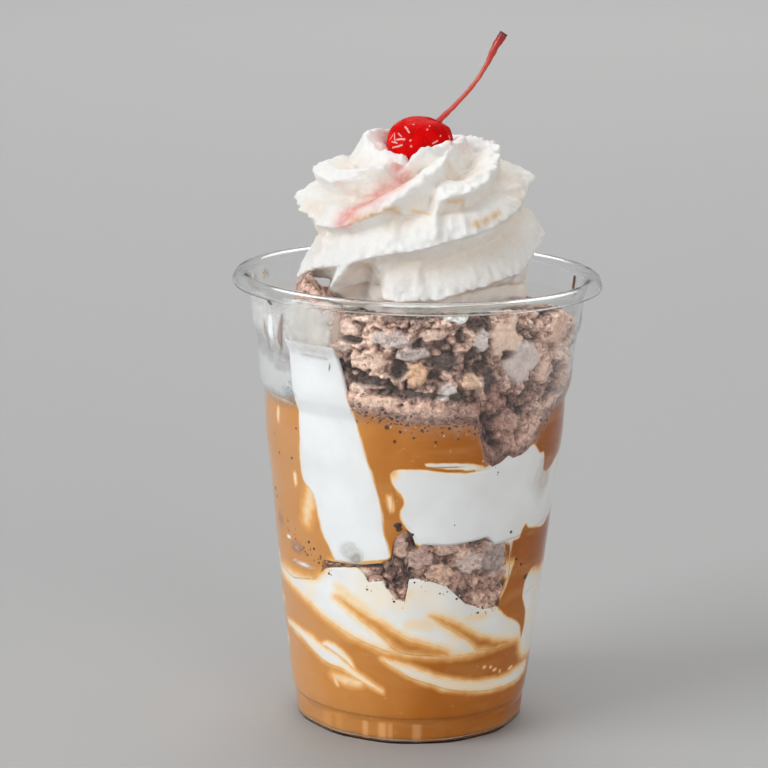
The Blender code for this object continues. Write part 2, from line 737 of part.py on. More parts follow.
def stem():
    """A thin curved stalk with a knob at its end."""
    points = []
    path = [Vector(p) for p in STEM_PATH]
    for index, (spot, radius) in enumerate(zip(path, STEM_RADII)):
        ahead = path[min(index + 1, len(path) - 1)] - path[max(index - 1, 0)]
        side = ahead.cross(Vector((0, 1, 0))).normalized()
        front = side.cross(ahead).normalized()
        for k in range(STEM_SIDES):
            turn = math.tau * k / STEM_SIDES
            points.append(spot + (side * math.cos(turn) + front * math.sin(turn)) * radius)
    faces = []
    for j in range(len(path) - 1):
        for k in range(STEM_SIDES):
            n = (k + 1) % STEM_SIDES
            a, b = j * STEM_SIDES, (j + 1) * STEM_SIDES
            faces.append((a + k, a + n, b + n, b + k))
    faces += [tuple(range(STEM_SIDES)),
              tuple((len(path) - 1) * STEM_SIDES + k for k in range(STEM_SIDES))]
    return build("cherry_stem", points, faces, "stem")


def main():
    for old in list(bpy.data.objects):
        bpy.data.objects.remove(old)
    made = contents()
    made["cup"] = cup()
    made["whipped_cream"] = piped_cream()
    made["cherry"] = cherry()
    made["cherry_stem"] = stem()
    for part in made.values():
        tidy(part)


main()
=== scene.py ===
"""Looks of the parfait: clear cup, swirled sauce and cream, crumble, piped cream and cherry.

Lengths are in millimetres until a mesh is made. Angles round the cup are in degrees:
0 faces -Y (the front) and 90 faces +X.
"""

import itertools
import math

import bpy
import numpy as np
from mathutils import Matrix, Vector, noise


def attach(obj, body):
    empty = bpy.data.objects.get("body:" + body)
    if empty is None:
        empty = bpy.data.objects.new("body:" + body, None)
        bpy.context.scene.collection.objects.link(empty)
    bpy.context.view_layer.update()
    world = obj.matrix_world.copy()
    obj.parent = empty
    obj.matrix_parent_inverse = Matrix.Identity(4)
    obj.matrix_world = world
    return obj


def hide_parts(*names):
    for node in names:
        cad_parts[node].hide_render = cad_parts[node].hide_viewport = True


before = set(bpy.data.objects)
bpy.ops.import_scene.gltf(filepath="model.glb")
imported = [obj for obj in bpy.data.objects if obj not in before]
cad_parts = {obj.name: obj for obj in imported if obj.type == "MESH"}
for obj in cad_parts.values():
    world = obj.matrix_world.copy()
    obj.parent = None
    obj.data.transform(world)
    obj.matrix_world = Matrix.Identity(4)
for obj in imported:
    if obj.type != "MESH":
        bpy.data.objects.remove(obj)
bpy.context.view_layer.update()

MM = 0.001
FAR = 1e9

# ---------------------------------------------------------------- sizes
WALL = 0.6
CUP_SIDE = [
    (0.8, 30.7), (3.5, 31.0), (6.2, 31.2), (8.5, 31.9), (12, 32.4), (20, 33.3), (30, 34.6),
    (40, 35.6), (50, 36.65), (60, 37.6), (70, 38.7), (79, 39.8), (85, 40.1), (89, 40.2),
    (92.5, 41.4), (95, 41.8), (102, 42.2), (105, 42.6), (107.5, 43.5), (110, 43.9), (114, 44.2),
    (118.8, 44.75),
]
STAND_INNER = 27.0
STAND_OUTER = 29.6
RECESS = 1.6
FLUTES = 12
FLUTE_DEPTH = 0.22
FLUTE_TOP = 6.2
FOOT_FLOOR = 2.15
RIM_CENTRE = (46.6, 119.2)
RIM_RADIUS = 2.4
RIM_END = -15.0
CUP_SEGMENTS = 192
# how far what fills the cup reaches into its wall
SOAK = 0.05

# borders of the layers at the wall, once round, and their heights on the axis
SAUCE_BASE_TOP = [
    (-90, 41), (-60, 38.5), (-50, 36.5), (-40, 33.3), (-30, 30.8), (-20, 28.5), (-10, 26.7),
    (0, 26), (30, 25), (45, 26.5), (60, 25.5), (63, 19.5), (90, 18), (135, 22), (180, 30),
    (225, 38),
]
CREAM_LOWER_TOP = [
    (-90, 43), (-60, 41.5), (-45, 43.5), (-38, 47.3), (-30, 48.3), (-23, 49), (-20, 48),
    (-18, 45.5), (-12, 46), (-9, 43.5), (-6, 41), (-2, 40.5), (-1, 46.5), (2, 47), (10, 46),
    (15, 45), (20, 42), (25, 39), (35, 37), (42, 37), (50, 37.5), (90, 43), (180, 46),
]
CRUMBLE_LOWER_TOP = [
    (-90, 45.5), (-60, 46), (-48, 49.5), (-33, 50), (-20, 50.5), (-12, 51.5), (-8, 53),
    (-7.5, 57), (-6, 59), (-2, 61), (0, 60), (2, 56), (5, 57), (15, 56.5), (28, 57.5),
    (32, 58), (36, 55.5), (48, 56), (60, 57), (90, 60), (180, 54),
]
SAUCE_UPPER_TOP = [
    (-90, 92), (-60, 90.5), (-29, 91), (-24, 93), (-20, 91.5), (-12, 91.5), (-5, 90), (0, 89.5),
    (10, 89), (20, 89), (24, 88), (26, 83), (28, 79), (31, 77), (35, 78), (38, 79.5), (42, 78),
    (48, 80), (52, 82), (55, 85), (60, 87), (70, 91), (80, 96), (90, 97), (135, 96), (180, 93),
]
CRUMBLE_UPPER_TOP = [
    (-90, 108), (-50, 108), (-28, 116), (0, 117.5), (40, 118), (58, 117), (68, 112),
    (76, 109), (110, 109), (150, 109.5), (210, 109.5),
]
CRUMBLE_TOP = 114.2
# share of the radius out to which the upper crumble is level
PLATEAU = [(-90, 0.72), (45, 0.72), (65, 0.5), (200, 0.5), (235, 0.72)]
POCKET_X = -31.4
# heap of crumbs: angle, its reach, share of the radius, its reach and height
HEAP = (-58, 13, 0.78, 0.11, 10)
CREAM_MIDDLE_TOP = [
    (-9, 76), (-5, 77), (5, 77), (15, 76), (30, 76), (35, 78), (50, 79.5), (53, 81),
    (57, 77.5), (61, 72), (70, 73), (80, 76), (104, 75),
]
CREAM_MIDDLE_LOW = [(-9, 73), (-5, 66), (-3, 62.5), (0, 60.6), (3, 57.2)]
CREAM_MIDDLE_HEART = 5 / 37
CENTRE_HEIGHTS = {"sauce_base": 27, "cream_lower": 44, "crumble_lower": 55,
                  "cream_middle": 76, "sauce_upper": 90}
# where the upper sauce covers the lower crumble at the wall, and where that one lies back
CRUMBLE_BEHIND_SAUCE = [(-90, 1), (-41, 1), (-39, 0), (44, 0), (46, 1), (107, 1), (124, 0),
                        (236, 0), (256, 1)]
CRUMBLE_HIDDEN = [(-90, 1), (-43, 1), (-38, 0), (44, 0), (47, 1), (107, 1), (124, 0), (236, 0),
                  (256, 1)]
LAYER_ANGLES = np.arange(-90, 270, 0.75)
LAYER_ROW = 0.5
CRUMBLE_ANGLES = np.arange(-90, 270, 0.7)
# how far a layer reaches into the next one
OVERLAP = 0.1

# cream and sauce against the wall: (angle, low, high), and (height, left, right) upright
RIBBON_FRONT = [
    (-12, 24.2, 25), (-8, 22.6, 24.4), (0, 19.5, 23), (10, 17.5, 20.5), (20, 15.5, 18.8),
    (30, 14.2, 17.5), (40, 13.6, 16.7), (50, 13.2, 16.5), (60, 13.3, 17), (75, 14, 18),
]
RIBBON_LEFT = [
    (-75, 26, 28), (-60, 25.5, 28), (-50, 22.5, 27), (-42, 20.5, 25), (-38, 20, 24.5),
    (-32, 20, 22.7), (-28, 18.9, 21), (-25, 18, 20.3), (-20, 16.5, 18.2), (-12, 14.9, 15.4),
]
RIBBON_LEFT_CURL = [
    (-43, 25.3, 26), (-40, 25.2, 27), (-35, 23.6, 26.8), (-31, 22.6, 25), (-28, 21.3, 23),
    (-25, 20.4, 20.9),
]
SAUCE_SWIRL_LEFT = [
    (-34, 39.6, 40.6), (-30, 38.5, 40), (-20, 34, 37), (-10, 30, 34.5), (-8, 27.8, 33.3),
    (-5, 26.8, 32), (0, 26, 30.3), (10, 25.6, 28.8), (15, 25.3, 27.5), (20, 25, 25.8),
]
SAUCE_SWIRL_RIGHT = [
    (8, 36.9, 37.4), (13, 35, 36.7), (20, 32, 34.8), (28, 28.5, 31.7), (31, 26, 30.7),
    (40, 25.4, 28.5), (50, 25.4, 26.8), (57, 25, 26),
]
STREAK = [
    (50.2, -32, -28), (52, -34, -12), (53, -35, -8), (56, -38, -9.5), (60, -40, -11),
    (64, -41, -11.5), (68, -43, -12.3), (70, -48, -13), (75, -48.5, -15.4), (80, -48, -18),
    (85, -48, -20), (90, -48.5, -22), (94, -49.2, -24), (100, -50, -26), (105, -50, -28),
    (108, -51, -29),
]
STREAK_DEPTH = 6.0
SAUCE_RIGHT = [
    (25.5, 61, 62), (28, 60, 62), (30, 58, 62.3), (33, 50, 62.5), (35, 45, 60), (36.5, 42, 58),
    (40, 42, 57), (42, 44, 58), (46, 46, 62), (50, 48, 70), (56, 50, 78),
]
SAUCE_RIGHT_DEPTH = 5.0
RIBBON_DEPTH = 4.0

# outlines at the wall as (angle, height), for the places where sauce and cream meet, and how
# many soft widths from them the colour still changes
PAINT_MOST = 8.0
MIDDLE_OUTLINE = [
    (-9, 76), (-8, 73.5), (-6, 71.5), (-4, 70), (-3, 67.5), (-5, 65), (-3, 62), (-1, 60),
    (2, 55.5), (36, 54), (48, 55.5), (50, 56), (51, 58), (53.5, 59.5), (54.5, 57.5),
    (60, 57), (70, 56), (80, 59), (88, 60), (104, 60), (104, 76), (90, 76), (80, 76),
    (70, 73), (61, 71), (60, 78), (57, 77.5), (53, 81), (50, 80.5), (38, 80), (28, 77),
    (26, 76), (15, 76), (10, 76.5), (5, 77), (-5, 77),
]
THIN_OUTLINE = [
    (4, 79), (10, 79), (20, 78.4), (26, 77.9), (28, 77), (26, 76.7), (18, 76.9), (10, 77.6),
    (4, 78.3),
]
LOWER_OUTLINE = [
    (-90, 41), (-60, 38.5), (-50, 36.5), (-45, 35), (-40, 33.3), (-30, 30.8), (-20, 28.5),
    (-10, 26.7), (-8, 26.6), (0, 26), (10, 25.5), (30, 25), (45, 26.5), (60.5, 26.5),
    (62, 19.5), (90, 18), (110, 20), (135, 22), (180, 30), (225, 38), (270, 41), (270, 50),
    (90, 44), (75, 43), (60, 45), (50, 50), (-33, 51), (-38, 47), (-45, 43), (-66, 43),
    (-90, 43),
]
SAUCE_RIGHT_OUTLINE = [
    (50, 56), (48, 50), (46, 46), (44, 42), (42, 40), (40.5, 38), (42, 36.5), (45, 35),
    (50, 33), (58, 30), (60.5, 26.5), (62, 25), (62.5, 33), (58, 37), (57, 40), (60, 45),
    (70, 45.5), (90, 46.5), (115, 47), (115, 59), (88, 60), (80, 59), (70, 56), (60, 57),
    (54.5, 57.5), (53.5, 59.5), (51, 58),
]

# piped cream: a dome of revolution with ridges as (angle, distance up), which climb round it
SWIRL_CENTRE = (0.3, -1.0)
SWIRL_PROFILE = [
    (25, 113.5), (29, 116.5), (31.5, 119.5), (32.5, 126), (32.8, 134), (32.3, 142),
    (30, 147.5), (26.5, 152), (21.5, 155.5), (14, 158), (0, 159.5),
]
RIDGE_LONG = [
    (110, 4), (200, 8), (270, 9.6), (294, 13.2), (302, 15.4), (317, 17), (333, 20.2),
    (356, 22.5), (374, 25.5), (393, 28), (403, 30), (413, 33), (435, 38), (540, 39.5),
    (630, 40), (669, 38.5), (687, 44), (696, 45.5), (699, 49), (712, 53.5), (800, 60),
]
RIDGE_SHORT = [
    (-19.5, -2), (-18.5, 9.6), (5, 9.4), (28, 13), (53, 15.6), (68, 20.5), (80, 22.6),
    (180, 26.5), (270, 31), (290, 29.3), (303, 27.2), (315, 26.6), (328, 28.4), (338, 31.1),
    (351, 36.4), (362, 41.9), (374, 46), (384, 54), (400, 57), (430, 59),
]
RIDGE_BRANCH = [
    (6.8, 24), (7.9, 31), (9.6, 35.9), (26, 37.7), (37, 40.5), (48, 43.6), (69, 49.4),
    (90, 51), (200, 53), (350, 59),
]
RIDGE_FOLD = [(-45.5, -2), (-44.2, 8.6), (-42.2, 11.5), (-35.2, 16.1), (-27, 20.5)]
GROOVE_SHARE = 0.45
GROOVE_MOST = 6.5
CREST_DROOP = 1.3
# the top sinks at the front left, most in a notch: angle, its reach and depth
FRONT_DROP = 3.6
FRONT_NOTCH = (-14.0, 6.0, 3.6)
SWIRL_COLUMNS = 420
SWIRL_ROWS = 230

# marks on the piped cream: (path of (angle, distance up), reach in mm, how much)
SHARP_CRESTS = [
    ([(-45.5, 0), (-44.2, 8.6), (-42.2, 11.5), (-35.2, 16.1), (-28, 20)], 2.1, 2.6),
    ([(-36, 2), (-33, 9), (-29, 15)], 2.2, -1.6),
    ([(7, 26), (7.9, 31), (9.6, 35.9), (26, 37.7)], 1.5, 1.0),
    ([(-7, 51), (2, 52.5), (13, 52)], 2.2, 2.2), ([(25, 53.5), (38, 52)], 3.2, -2.0),
]
TIPS = [
    ([(-88, 31.5)], 1.8, 1.4), ([(-72, 29)], 1.3, 1.0), ([(-68, 12.8)], 1.8, 1.4),
    ([(-53, 26.2)], 1.6, 1.4), ([(-56, 21.8)], 1.6, 1.2), ([(79, 39)], 1.8, 1.3),
    ([(70, 25)], 1.6, 1.4), ([(-80, 4), (-100, 3)], 3.0, -2.0), ([(-17, 5)], 3.0, 1.2),
    ([(-60, 48)], 2.6, 2.0), ([(-166, 62), (-140, 62.5), (-120, 60.5)], 3.2, 3.0),
    ([(70, 8), (86, 5)], 6.5, 3.4),
]
STAINS = [
    ([(-32, 29.4), (-23.6, 31), (-12.5, 32.6), (-11.5, 31.8)], 0.9, 0.75),
    ([(-18, 32), (-12, 32.6)], 1.4, 0.7), ([(-4, 33), (1.8, 32.8), (4.5, 31.5)], 0.8, 0.8),
    ([(14, 35), (23, 35.2), (23.3, 34.1)], 0.8, 0.7), ([(18.5, 44.6), (28.6, 44.4)], 1.6, 0.5),
    ([(22, 48), (41, 47), (28, 44)], 2.4, 0.3), ([(25.3, 28.8), (32, 29.8), (40, 31.8)], 0.9, 0.7),
    ([(41, 27.6), (48, 28.3), (56, 28.8)], 1.6, 0.3), ([(46, 25.8)], 1.8, 0.25),
    ([(50, 38), (58, 36), (66, 39), (56, 43)], 3.0, 0.25), ([(72, 46)], 3.5, 0.3),
    ([(-72, 30.7), (-56, 30.3)], 2.0, 0.3), ([(-47, 38), (-38, 38.3)], 1.8, 0.25),
    ([(-4, 43), (-7, 47)], 1.0, 0.4), ([(-31, 14), (-25, 17.5)], 2.2, 0.4),
]
SYRUP = [
    ([(-16, 51), (-14, 47.4), (-12.7, 43.8), (-13.9, 41.4), (-17.4, 39.5), (-21.7, 37.5),
      (-26, 35.5), (-30.9, 33.2), (-35.5, 30.9), (-39.3, 28.6)], 2.7, 0.85),
    ([(-39, 27), (-35.1, 27.6), (-32.4, 28.6)], 0.65, 0.85), ([(-37.4, 24.9)], 0.6, 0.3),
    ([(-13.4, 47.4)], 0.5, 0.7), ([(-20.4, 39.6)], 0.45, 0.7), ([(-25, 38.1)], 0.45, 0.5),
    ([(-32.4, 32.6)], 0.5, 0.9), ([(-33, 38.6)], 0.8, 0.25), ([(31, 57)], 1.4, 0.35),
    ([(48, 57), (64, 57.2)], 1.6, 0.3), ([(82, 48.5)], 1.6, 0.3),
]

# crumble: colours from its hollows, which hold painted shade, to its lumps, of the paste under it,
# what its shade takes away, how the lower bed differs, and how far it dips back at most
TINTS = [(0.10, 0.066, 0.058), (0.26, 0.166, 0.138), (0.50, 0.324, 0.266), (0.66, 0.445, 0.365),
         (0.80, 0.56, 0.455), (0.84, 0.67, 0.58)]
PASTE = (0.30, 0.20, 0.17)
SHADED_LOSS = (0.46, 0.54, 0.53)
LOWER_TINT = (0.74, 0.69, 0.67)
RELIEF_MOST = 3.8
# its lumps: size, salt, bend, relief and its power, depth and width of cracks, weight in colour
LUMPS = [
    (6.0, 11, 1.3, 2.6, 1.5, 1.1, 0.16, 0.35), (2.7, 29, 1.04, 1.5, 1.3, 0.8, 0.2, 0.4),
    (1.25, 47, 0.52, 0.6, 1.0, 0.0, 1.0, 0.25),
]
# patches in the crumble at the wall: angle, height, half sizes in mm, colour, and how far they
# stand back; the dark ones that stand back 1 mm or more are gaps coloured with painted shade
PATCHES = [
    (32, 111, 5.4, 4.8, (0.72, 0.53, 0.43), 0.2), (41, 104, 6.0, 6.4, (0.62, 0.52, 0.49), 0.0),
    (-17, 105, 5.6, 3.2, (0.74, 0.53, 0.43), 0.2), (-9, 111, 5.5, 2.4, (0.56, 0.46, 0.43), 0.1),
    (-1, 107.5, 5.0, 2.2, (0.52, 0.43, 0.40), 0.2), (0, 102, 3.2, 3.4, (0.72, 0.46, 0.31), 0.3),
    (11.5, 97.4, 3.0, 2.4, (0.66, 0.58, 0.56), 0.1), (23, 111, 2.4, 3.4, (0.62, 0.54, 0.52), 0.3),
    (-24, 113, 3.4, 3.0, (0.72, 0.52, 0.43), 0.3), (-25.5, 108.6, 1.9, 2.0, (0.76, 0.58, 0.50), 0.0),
    (15, 117, 5.0, 1.5, (0.78, 0.77, 0.75), 0.2), (20, 100, 3.0, 2.4, (0.72, 0.50, 0.37), 0.3),
    (59, 111, 4.4, 4.4, (0.66, 0.44, 0.35), 0.2), (54, 100, 3.4, 3.4, (0.66, 0.47, 0.40), 0.2),
    (-12, 94.8, 6.0, 1.2, (0.66, 0.46, 0.36), 0.2), (6, 112.5, 3.5, 1.8, (0.66, 0.47, 0.39), 0.3),
    (25, 51, 4.5, 3.2, (0.70, 0.57, 0.52), 0.2), (37, 52, 4.0, 5.0, (0.46, 0.37, 0.35), 0.2),
    (12, 48.5, 4.0, 2.4, (0.76, 0.52, 0.40), 0.2), (-5, 56, 2.6, 3.6, (0.70, 0.50, 0.42), 0.2),
    (3, 52.5, 4.0, 3.4, (0.58, 0.42, 0.37), 0.3), (14, 55, 3.4, 1.8, (0.74, 0.53, 0.44), 0.2),
    (-17, 99.8, 7.5, 1.7, (0.13, 0.095, 0.085), 2.6), (-6, 103, 2.6, 3.2, (0.13, 0.10, 0.09), 2.4),
    (10, 105, 5.0, 2.4, (0.16, 0.12, 0.11), 2.0), (-22, 110.5, 3.0, 1.2, (0.15, 0.11, 0.10), 1.8),
    (-2, 117.2, 7.0, 1.2, (0.13, 0.10, 0.09), 2.0), (28, 100, 2.4, 4.0, (0.16, 0.12, 0.11), 2.2),
    (16, 96, 3.0, 1.4, (0.14, 0.11, 0.10), 2.0), (2, 96.5, 6.0, 0.9, (0.17, 0.13, 0.12), 1.2),
    (20, 115.5, 3.4, 2.0, (0.14, 0.10, 0.09), 2.0), (27, 57, 6.0, 0.9, (0.11, 0.09, 0.09), 2.0),
    (-21, 50.2, 6.0, 0.8, (0.11, 0.10, 0.10), 1.4), (-40, 49.5, 3.0, 0.7, (0.15, 0.11, 0.10), 1.2),
]

# thin smears on the wall, with a painted reflection and a painted shade line among them: angle,
# height, half width in degrees, half height, squareness, lean in degrees a millimetre, colour, cover
# and how much of it fades upwards
SMEARS_AND_PAINTED_LIGHT = [
    (-39.8, 111.2, 12.8, 9.0, 4, 0.05, (0.73, 0.705, 0.67), 0.56, 0.1),
    (-27.5, 112, 1.6, 7.0, 3, 0.1, (0.62, 0.47, 0.40), 0.6, 0.3),
    (-72, 111.0, 34.0, 9.5, 2, 0.0, (0.70, 0.69, 0.67), 0.75, 0.2),
    (-70, 96.5, 36.0, 9.0, 2, 0.0, (0.53, 0.53, 0.53), 2.6, 0.6),
    # a painted reflection: a narrow white streak of light on the wall
    (-59.5, 109.5, 2.0, 5.6, 3, 0.1, (0.84, 0.85, 0.86), 1.0, 0.2),
    (-53.6, 108.5, 1.7, 6.2, 2, 0.4, (0.33, 0.25, 0.225), 1.3, 0.0),
    (-58.8, 116.4, 1.6, 0.9, 2, -1.0, (0.12, 0.10, 0.09), 1.4, 0.0),
    (-64, 108, 1.4, 5.2, 2, 0.0, (0.47, 0.34, 0.29), 0.8, 0.0),
    (-31.2, 102.4, 0.6, 1.6, 2, 0.3, (0.30, 0.24, 0.22), 0.9, 0.0),
    # a painted shade line under the cup's step
    (-37, 104.6, 7.0, 0.5, 3, 0.0, (0.62, 0.62, 0.63), 0.5, 0.0),
    (-52, 93.6, 5.0, 1.8, 2, -1.4, (0.50, 0.51, 0.53), 0.45, 0.0),
    (-25.5, 53.0, 6.4, 3.4, 2, 0.0, (0.66, 0.65, 0.63), 0.9, 0.0),
    (-23, 51.6, 3.4, 2.0, 2, 0.0, (0.42, 0.41, 0.40), 0.8, 0.0),
    (-99, 116.2, 4.4, 3.2, 2, 0.8, (0.84, 0.72, 0.54), 0.75, 0.0),
    (-110, 117.2, 4.0, 1.9, 2, 0.0, (0.84, 0.72, 0.56), 0.65, 0.0),
    (-90, 114.6, 4.0, 2.6, 2, 0.0, (0.84, 0.75, 0.62), 0.6, 0.0),
    (106, 116.8, 1.2, 2.6, 3, 0.0, (0.34, 0.15, 0.08), 1.2, 0.0),
    (62, 70, 8.0, 8.0, 2, 0.0, (0.74, 0.60, 0.52), 0.5, 0.0),
    (12, 77.7, 9.0, 0.35, 2, 0.0, (0.62, 0.30, 0.16), 0.9, 0.0),
    (66, 93.5, 12.0, 0.8, 3, 0.0, (0.62, 0.52, 0.48), 0.4, 0.0),
    (-52, 46.5, 9.0, 1.0, 2, 0.16, (0.80, 0.78, 0.75), 0.8, 0.0),
    (-62, 52.5, 3.0, 1.0, 2, 0.3, (0.80, 0.78, 0.75), 1.0, 0.0),
    (-56, 50.5, 6.0, 2.2, 2, 0.3, (0.46, 0.31, 0.25), 0.8, 0.0),
    (-70, 56, 5.0, 3.5, 2, 0.0, (0.45, 0.28, 0.18), 0.4, 0.0),
    (-70, 90.6, 20.0, 0.9, 4, 0.0, (0.80, 0.62, 0.46), 0.5, 0.0),
]

# crumbs and specks at the wall: angle, height and radius
CRUMBS = [
    (-68, 80, 0.5), (-64, 75.5, 0.6), (-54, 75.5, 0.6), (-50, 84, 0.5), (-7, 84.5, 0.7),
    (-5, 87, 0.6), (0, 85.5, 0.5), (3, 87.5, 0.6), (8, 84.5, 0.6), (13, 88, 0.6), (-10, 88, 0.9),
    (-52, 94.9, 0.36), (-53.9, 95.6, 0.3), (-50, 94.2, 0.32), (-47.8, 93.4, 0.26),
    (-55, 94.4, 0.22), (-51.5, 96.3, 0.24), (-49, 92.4, 0.24), (-31.2, 103.4, 0.4),
    (-5.5, 62, 1.3), (-5.2, 61, 1.1), (53, 48, 1.1), (49, 50, 0.9), (58, 44, 1.4), (51, 46, 0.6),
    (-74, 64, 1.0), (-73, 62, 0.8), (-62, 57, 0.5), (-47, 53.5, 0.7), (-44, 52, 0.6),
    (17, 62, 0.4), (-28, 79, 0.3), (-24, 85, 0.3), (44, 58, 0.7), (0, 59.5, 0.8), (-1.5, 58, 0.7),
]
# scattered ones: how many, first angle, spread of angles, the border they follow, how far above
# it they start and how far down they go, and how fast they thin out
CRUMB_TRAIL = [(-64, 56.34), (-34, 46.74)]
SCATTERED = [
    (240, -30, 64, SAUCE_UPPER_TOP, 2.0, 6.0, 1.6), (90, -24, 66, CREAM_LOWER_TOP, 1.0, 3.6, 1.8),
    (90, -64, 30, CRUMB_TRAIL, -2.0, -4.0, 1.0),
]
CRUMB_DARK = (0.19, 0.11, 0.08)
CRUMB_LIGHT = (0.45, 0.30, 0.24)
# foot: painted highlights of its flutes, as bars: angle, half width in degrees and strength
FOOT_HIGHLIGHT_BARS = [(-21.5, 1.6, 0.9), (-12.5, 2.2, 0.9), (-8.4, 1.3, 0.7), (4.6, 2.6, 0.8),
             (-44, 3.0, 0.35), (-36, 2.0, 0.25), (26, 4.0, 0.2)]
FOOT_HIGHLIGHT_TOP = 6.4
FOOT_SHADE_LINE = 7.5
STIRRED_FROM = 70

# strokes of painted shine on the cherry: ends as (angle, degrees from its foot), and half width in mm
GLINTS = [
    ((-52, 99), (-32, 105), 0.34), ((-65, 111), (-60, 119), 0.26), ((-57, 122), (-47, 109), 0.26),
    ((-44, 113), (-29, 115), 0.36), ((-57, 108), (-42, 108), 0.22), ((-36, 136), (-22, 126), 0.28),
    ((-19, 142), (-18, 142), 0.30), ((13, 131), (13, 132), 0.26), ((20, 138), (21, 139), 0.20),
    ((38, 120), (39, 121), 0.24), ((22, 110), (30, 113), 0.28), ((37, 107), (38, 108), 0.24),
    ((-18, 113), (-17, 114), 0.28), ((-16, 105), (-15, 104), 0.28), ((-81, 136), (-86, 147), 0.30),
    ((61, 119), (63, 107), 0.26), ((-46, 123), (-36, 118), 0.20), ((-52, 116), (-50, 112), 0.24),
]
CHERRY_CENTRE = (0.0, -1.0, 153.4)
CHERRY_RADIUS = 9.0
DIMPLE_AT = (4.2, -1.0, 161.2)
DIMPLE_RADIUS = 3.4
DIMPLE_DEPTH = 1.5
STEM_PATH = [(4.0, -1, 160.7), (8.8, -1, 165.6), (13.9, -1, 171.4), (17.1, -1, 176.9),
             (18.6, -1, 180.6), (21.0, -1, 184.6)]
STEM_RADII = [0.85, 0.6, 0.55, 0.6, 0.95, 1.15]

# camera: yaw, pitch and roll in radians, place in metres, and the photograph's pixels
CAMERA_TURN = (-0.0126440, 0.2172197, 0.0194777)
CAMERA_AT = (0, -0.657466, 0.235695)
FOCAL_PIXELS = 2516.38
PICTURE_PIXELS = 768
SENSOR = 36

# floor and lamps in metres: name, place, side, watts, colour and what the lamp faces
FLOOR_SIDE = 12
CUP_MIDDLE = (0, 0, 0.09)
LAMPS = [
    ("window", (-3.1, -1.5, 1.8), 2.4, 102, (0.97, 0.985, 1.0), CUP_MIDDLE),
    ("fill", (2.2, -3.2, 0.9), 2.6, 60, (1.0, 0.985, 0.96), CUP_MIDDLE),
    ("ceiling", (0.0, 1.0, 3.6), 4.0, 50, (1, 1, 1), CUP_MIDDLE),
    ("far", (0.3, 3.4, 2.6), 3.0, 62, (1, 1, 1), (0.3, 3.4, 0)),
]
SKY = 0.21
SKY_THROUGH_CUP = 0.51


# ---------------------------------------------------------------- helpers
def table(rows, at, column=1):
    """Values of a table at positions, held beyond its ends."""
    return np.interp(at, [row[0] for row in rows], [row[column] for row in rows])


def around(rows, angles):
    """Values of a table that runs once round the cup."""
    return np.interp(angles, [row[0] for row in rows], [row[1] for row in rows], period=360)


def between(low, high, shares):
    """Values from low to high: a row for each pair and a column for each share."""
    low, high = (side[..., None] for side in np.broadcast_arrays(low, high))
    return low + (high - low) * shares


def smooth_side():
    """The cup's side with its steps rounded, as heights and radii."""
    heights = np.arange(CUP_SIDE[0][0], CUP_SIDE[-1][0] + 0.01, 0.4)
    kernel = np.exp(-np.linspace(-2, 2, 5) ** 2)
    padded = np.pad(table(CUP_SIDE, heights), 2, mode="edge")
    return heights, np.convolve(padded, kernel / kernel.sum(), "valid")


SIDE_HEIGHTS, SIDE_RADII = smooth_side()


def flute(angles, heights):
    return np.where(heights < FLUTE_TOP, FLUTE_DEPTH * np.sin(np.radians(angles * FLUTES)), 0)


def inner_radius(heights):
    return np.interp(heights, SIDE_HEIGHTS, SIDE_RADII) - WALL


def polar(angles, radii, heights):
    """Points from angles round the cup, radii and heights."""
    turn = np.radians(angles)
    sides = radii * np.sin(turn), -radii * np.cos(turn), heights
    return np.stack(np.broadcast_arrays(*sides), -1)


def angles_of(grid):
    """Angles of points round the cup, from -90 to 270."""
    return (np.degrees(np.arctan2(grid[..., 0], -grid[..., 1])) + 90) % 360 - 90


def grid_faces(columns, rows, wrap_columns, wrap_rows):
    k = np.arange(columns if wrap_columns else columns - 1)[:, None]
    j = np.arange(rows if wrap_rows else rows - 1)[None, :]
    a, b = k * rows, (k + 1) % columns * rows
    n = (j + 1) % rows
    return np.stack([a + j, b + j, b + n, a + n], -1).reshape(-1, 4).tolist()


def volume(points, faces):
    """Six times the volume inside closed faces, negative if they point in."""
    corners = [(f[0], f[k], f[k + 1]) for f in faces for k in range(1, len(f) - 1)]
    a, b, c = (points[[f[i] for f in corners]] for i in range(3))
    return np.einsum("ij,ij->i", a, np.cross(b, c)).sum()


def solid(name, grid, slot, replaces, values=None, round_cup=True):
    """A closed piece from a grid of points [column, row].

    With round_cup the columns go round the cup and each end row is closed by a point on
    the axis. Without it the rows form a loop and each end column is closed.
    """
    columns, rows = grid.shape[:2]
    points = grid.reshape(-1, 3)
    faces = grid_faces(columns, rows, round_cup, not round_cup)
    picks = np.arange(columns * rows).reshape(columns, rows)
    ends = [picks[:, end] if round_cup else picks[end] for end in (0, -1)]
    for index, ring in enumerate(ends):
        tip = [(p, q, len(points)) for p, q in zip(ring.tolist(), np.roll(ring, -1).tolist())]
        points = np.vstack([points, points[ring].mean(axis=0)])
        faces += [face[::-1] for face in tip] if (index == 0) == round_cup else tip
    full = {}
    for key, data in (values or {}).items():
        flat = data.reshape(columns * rows, -1)
        full[key] = np.vstack([flat, *(flat[ring].mean(axis=0) for ring in ends)])
    piece(name, points, faces, slot, replaces, full)


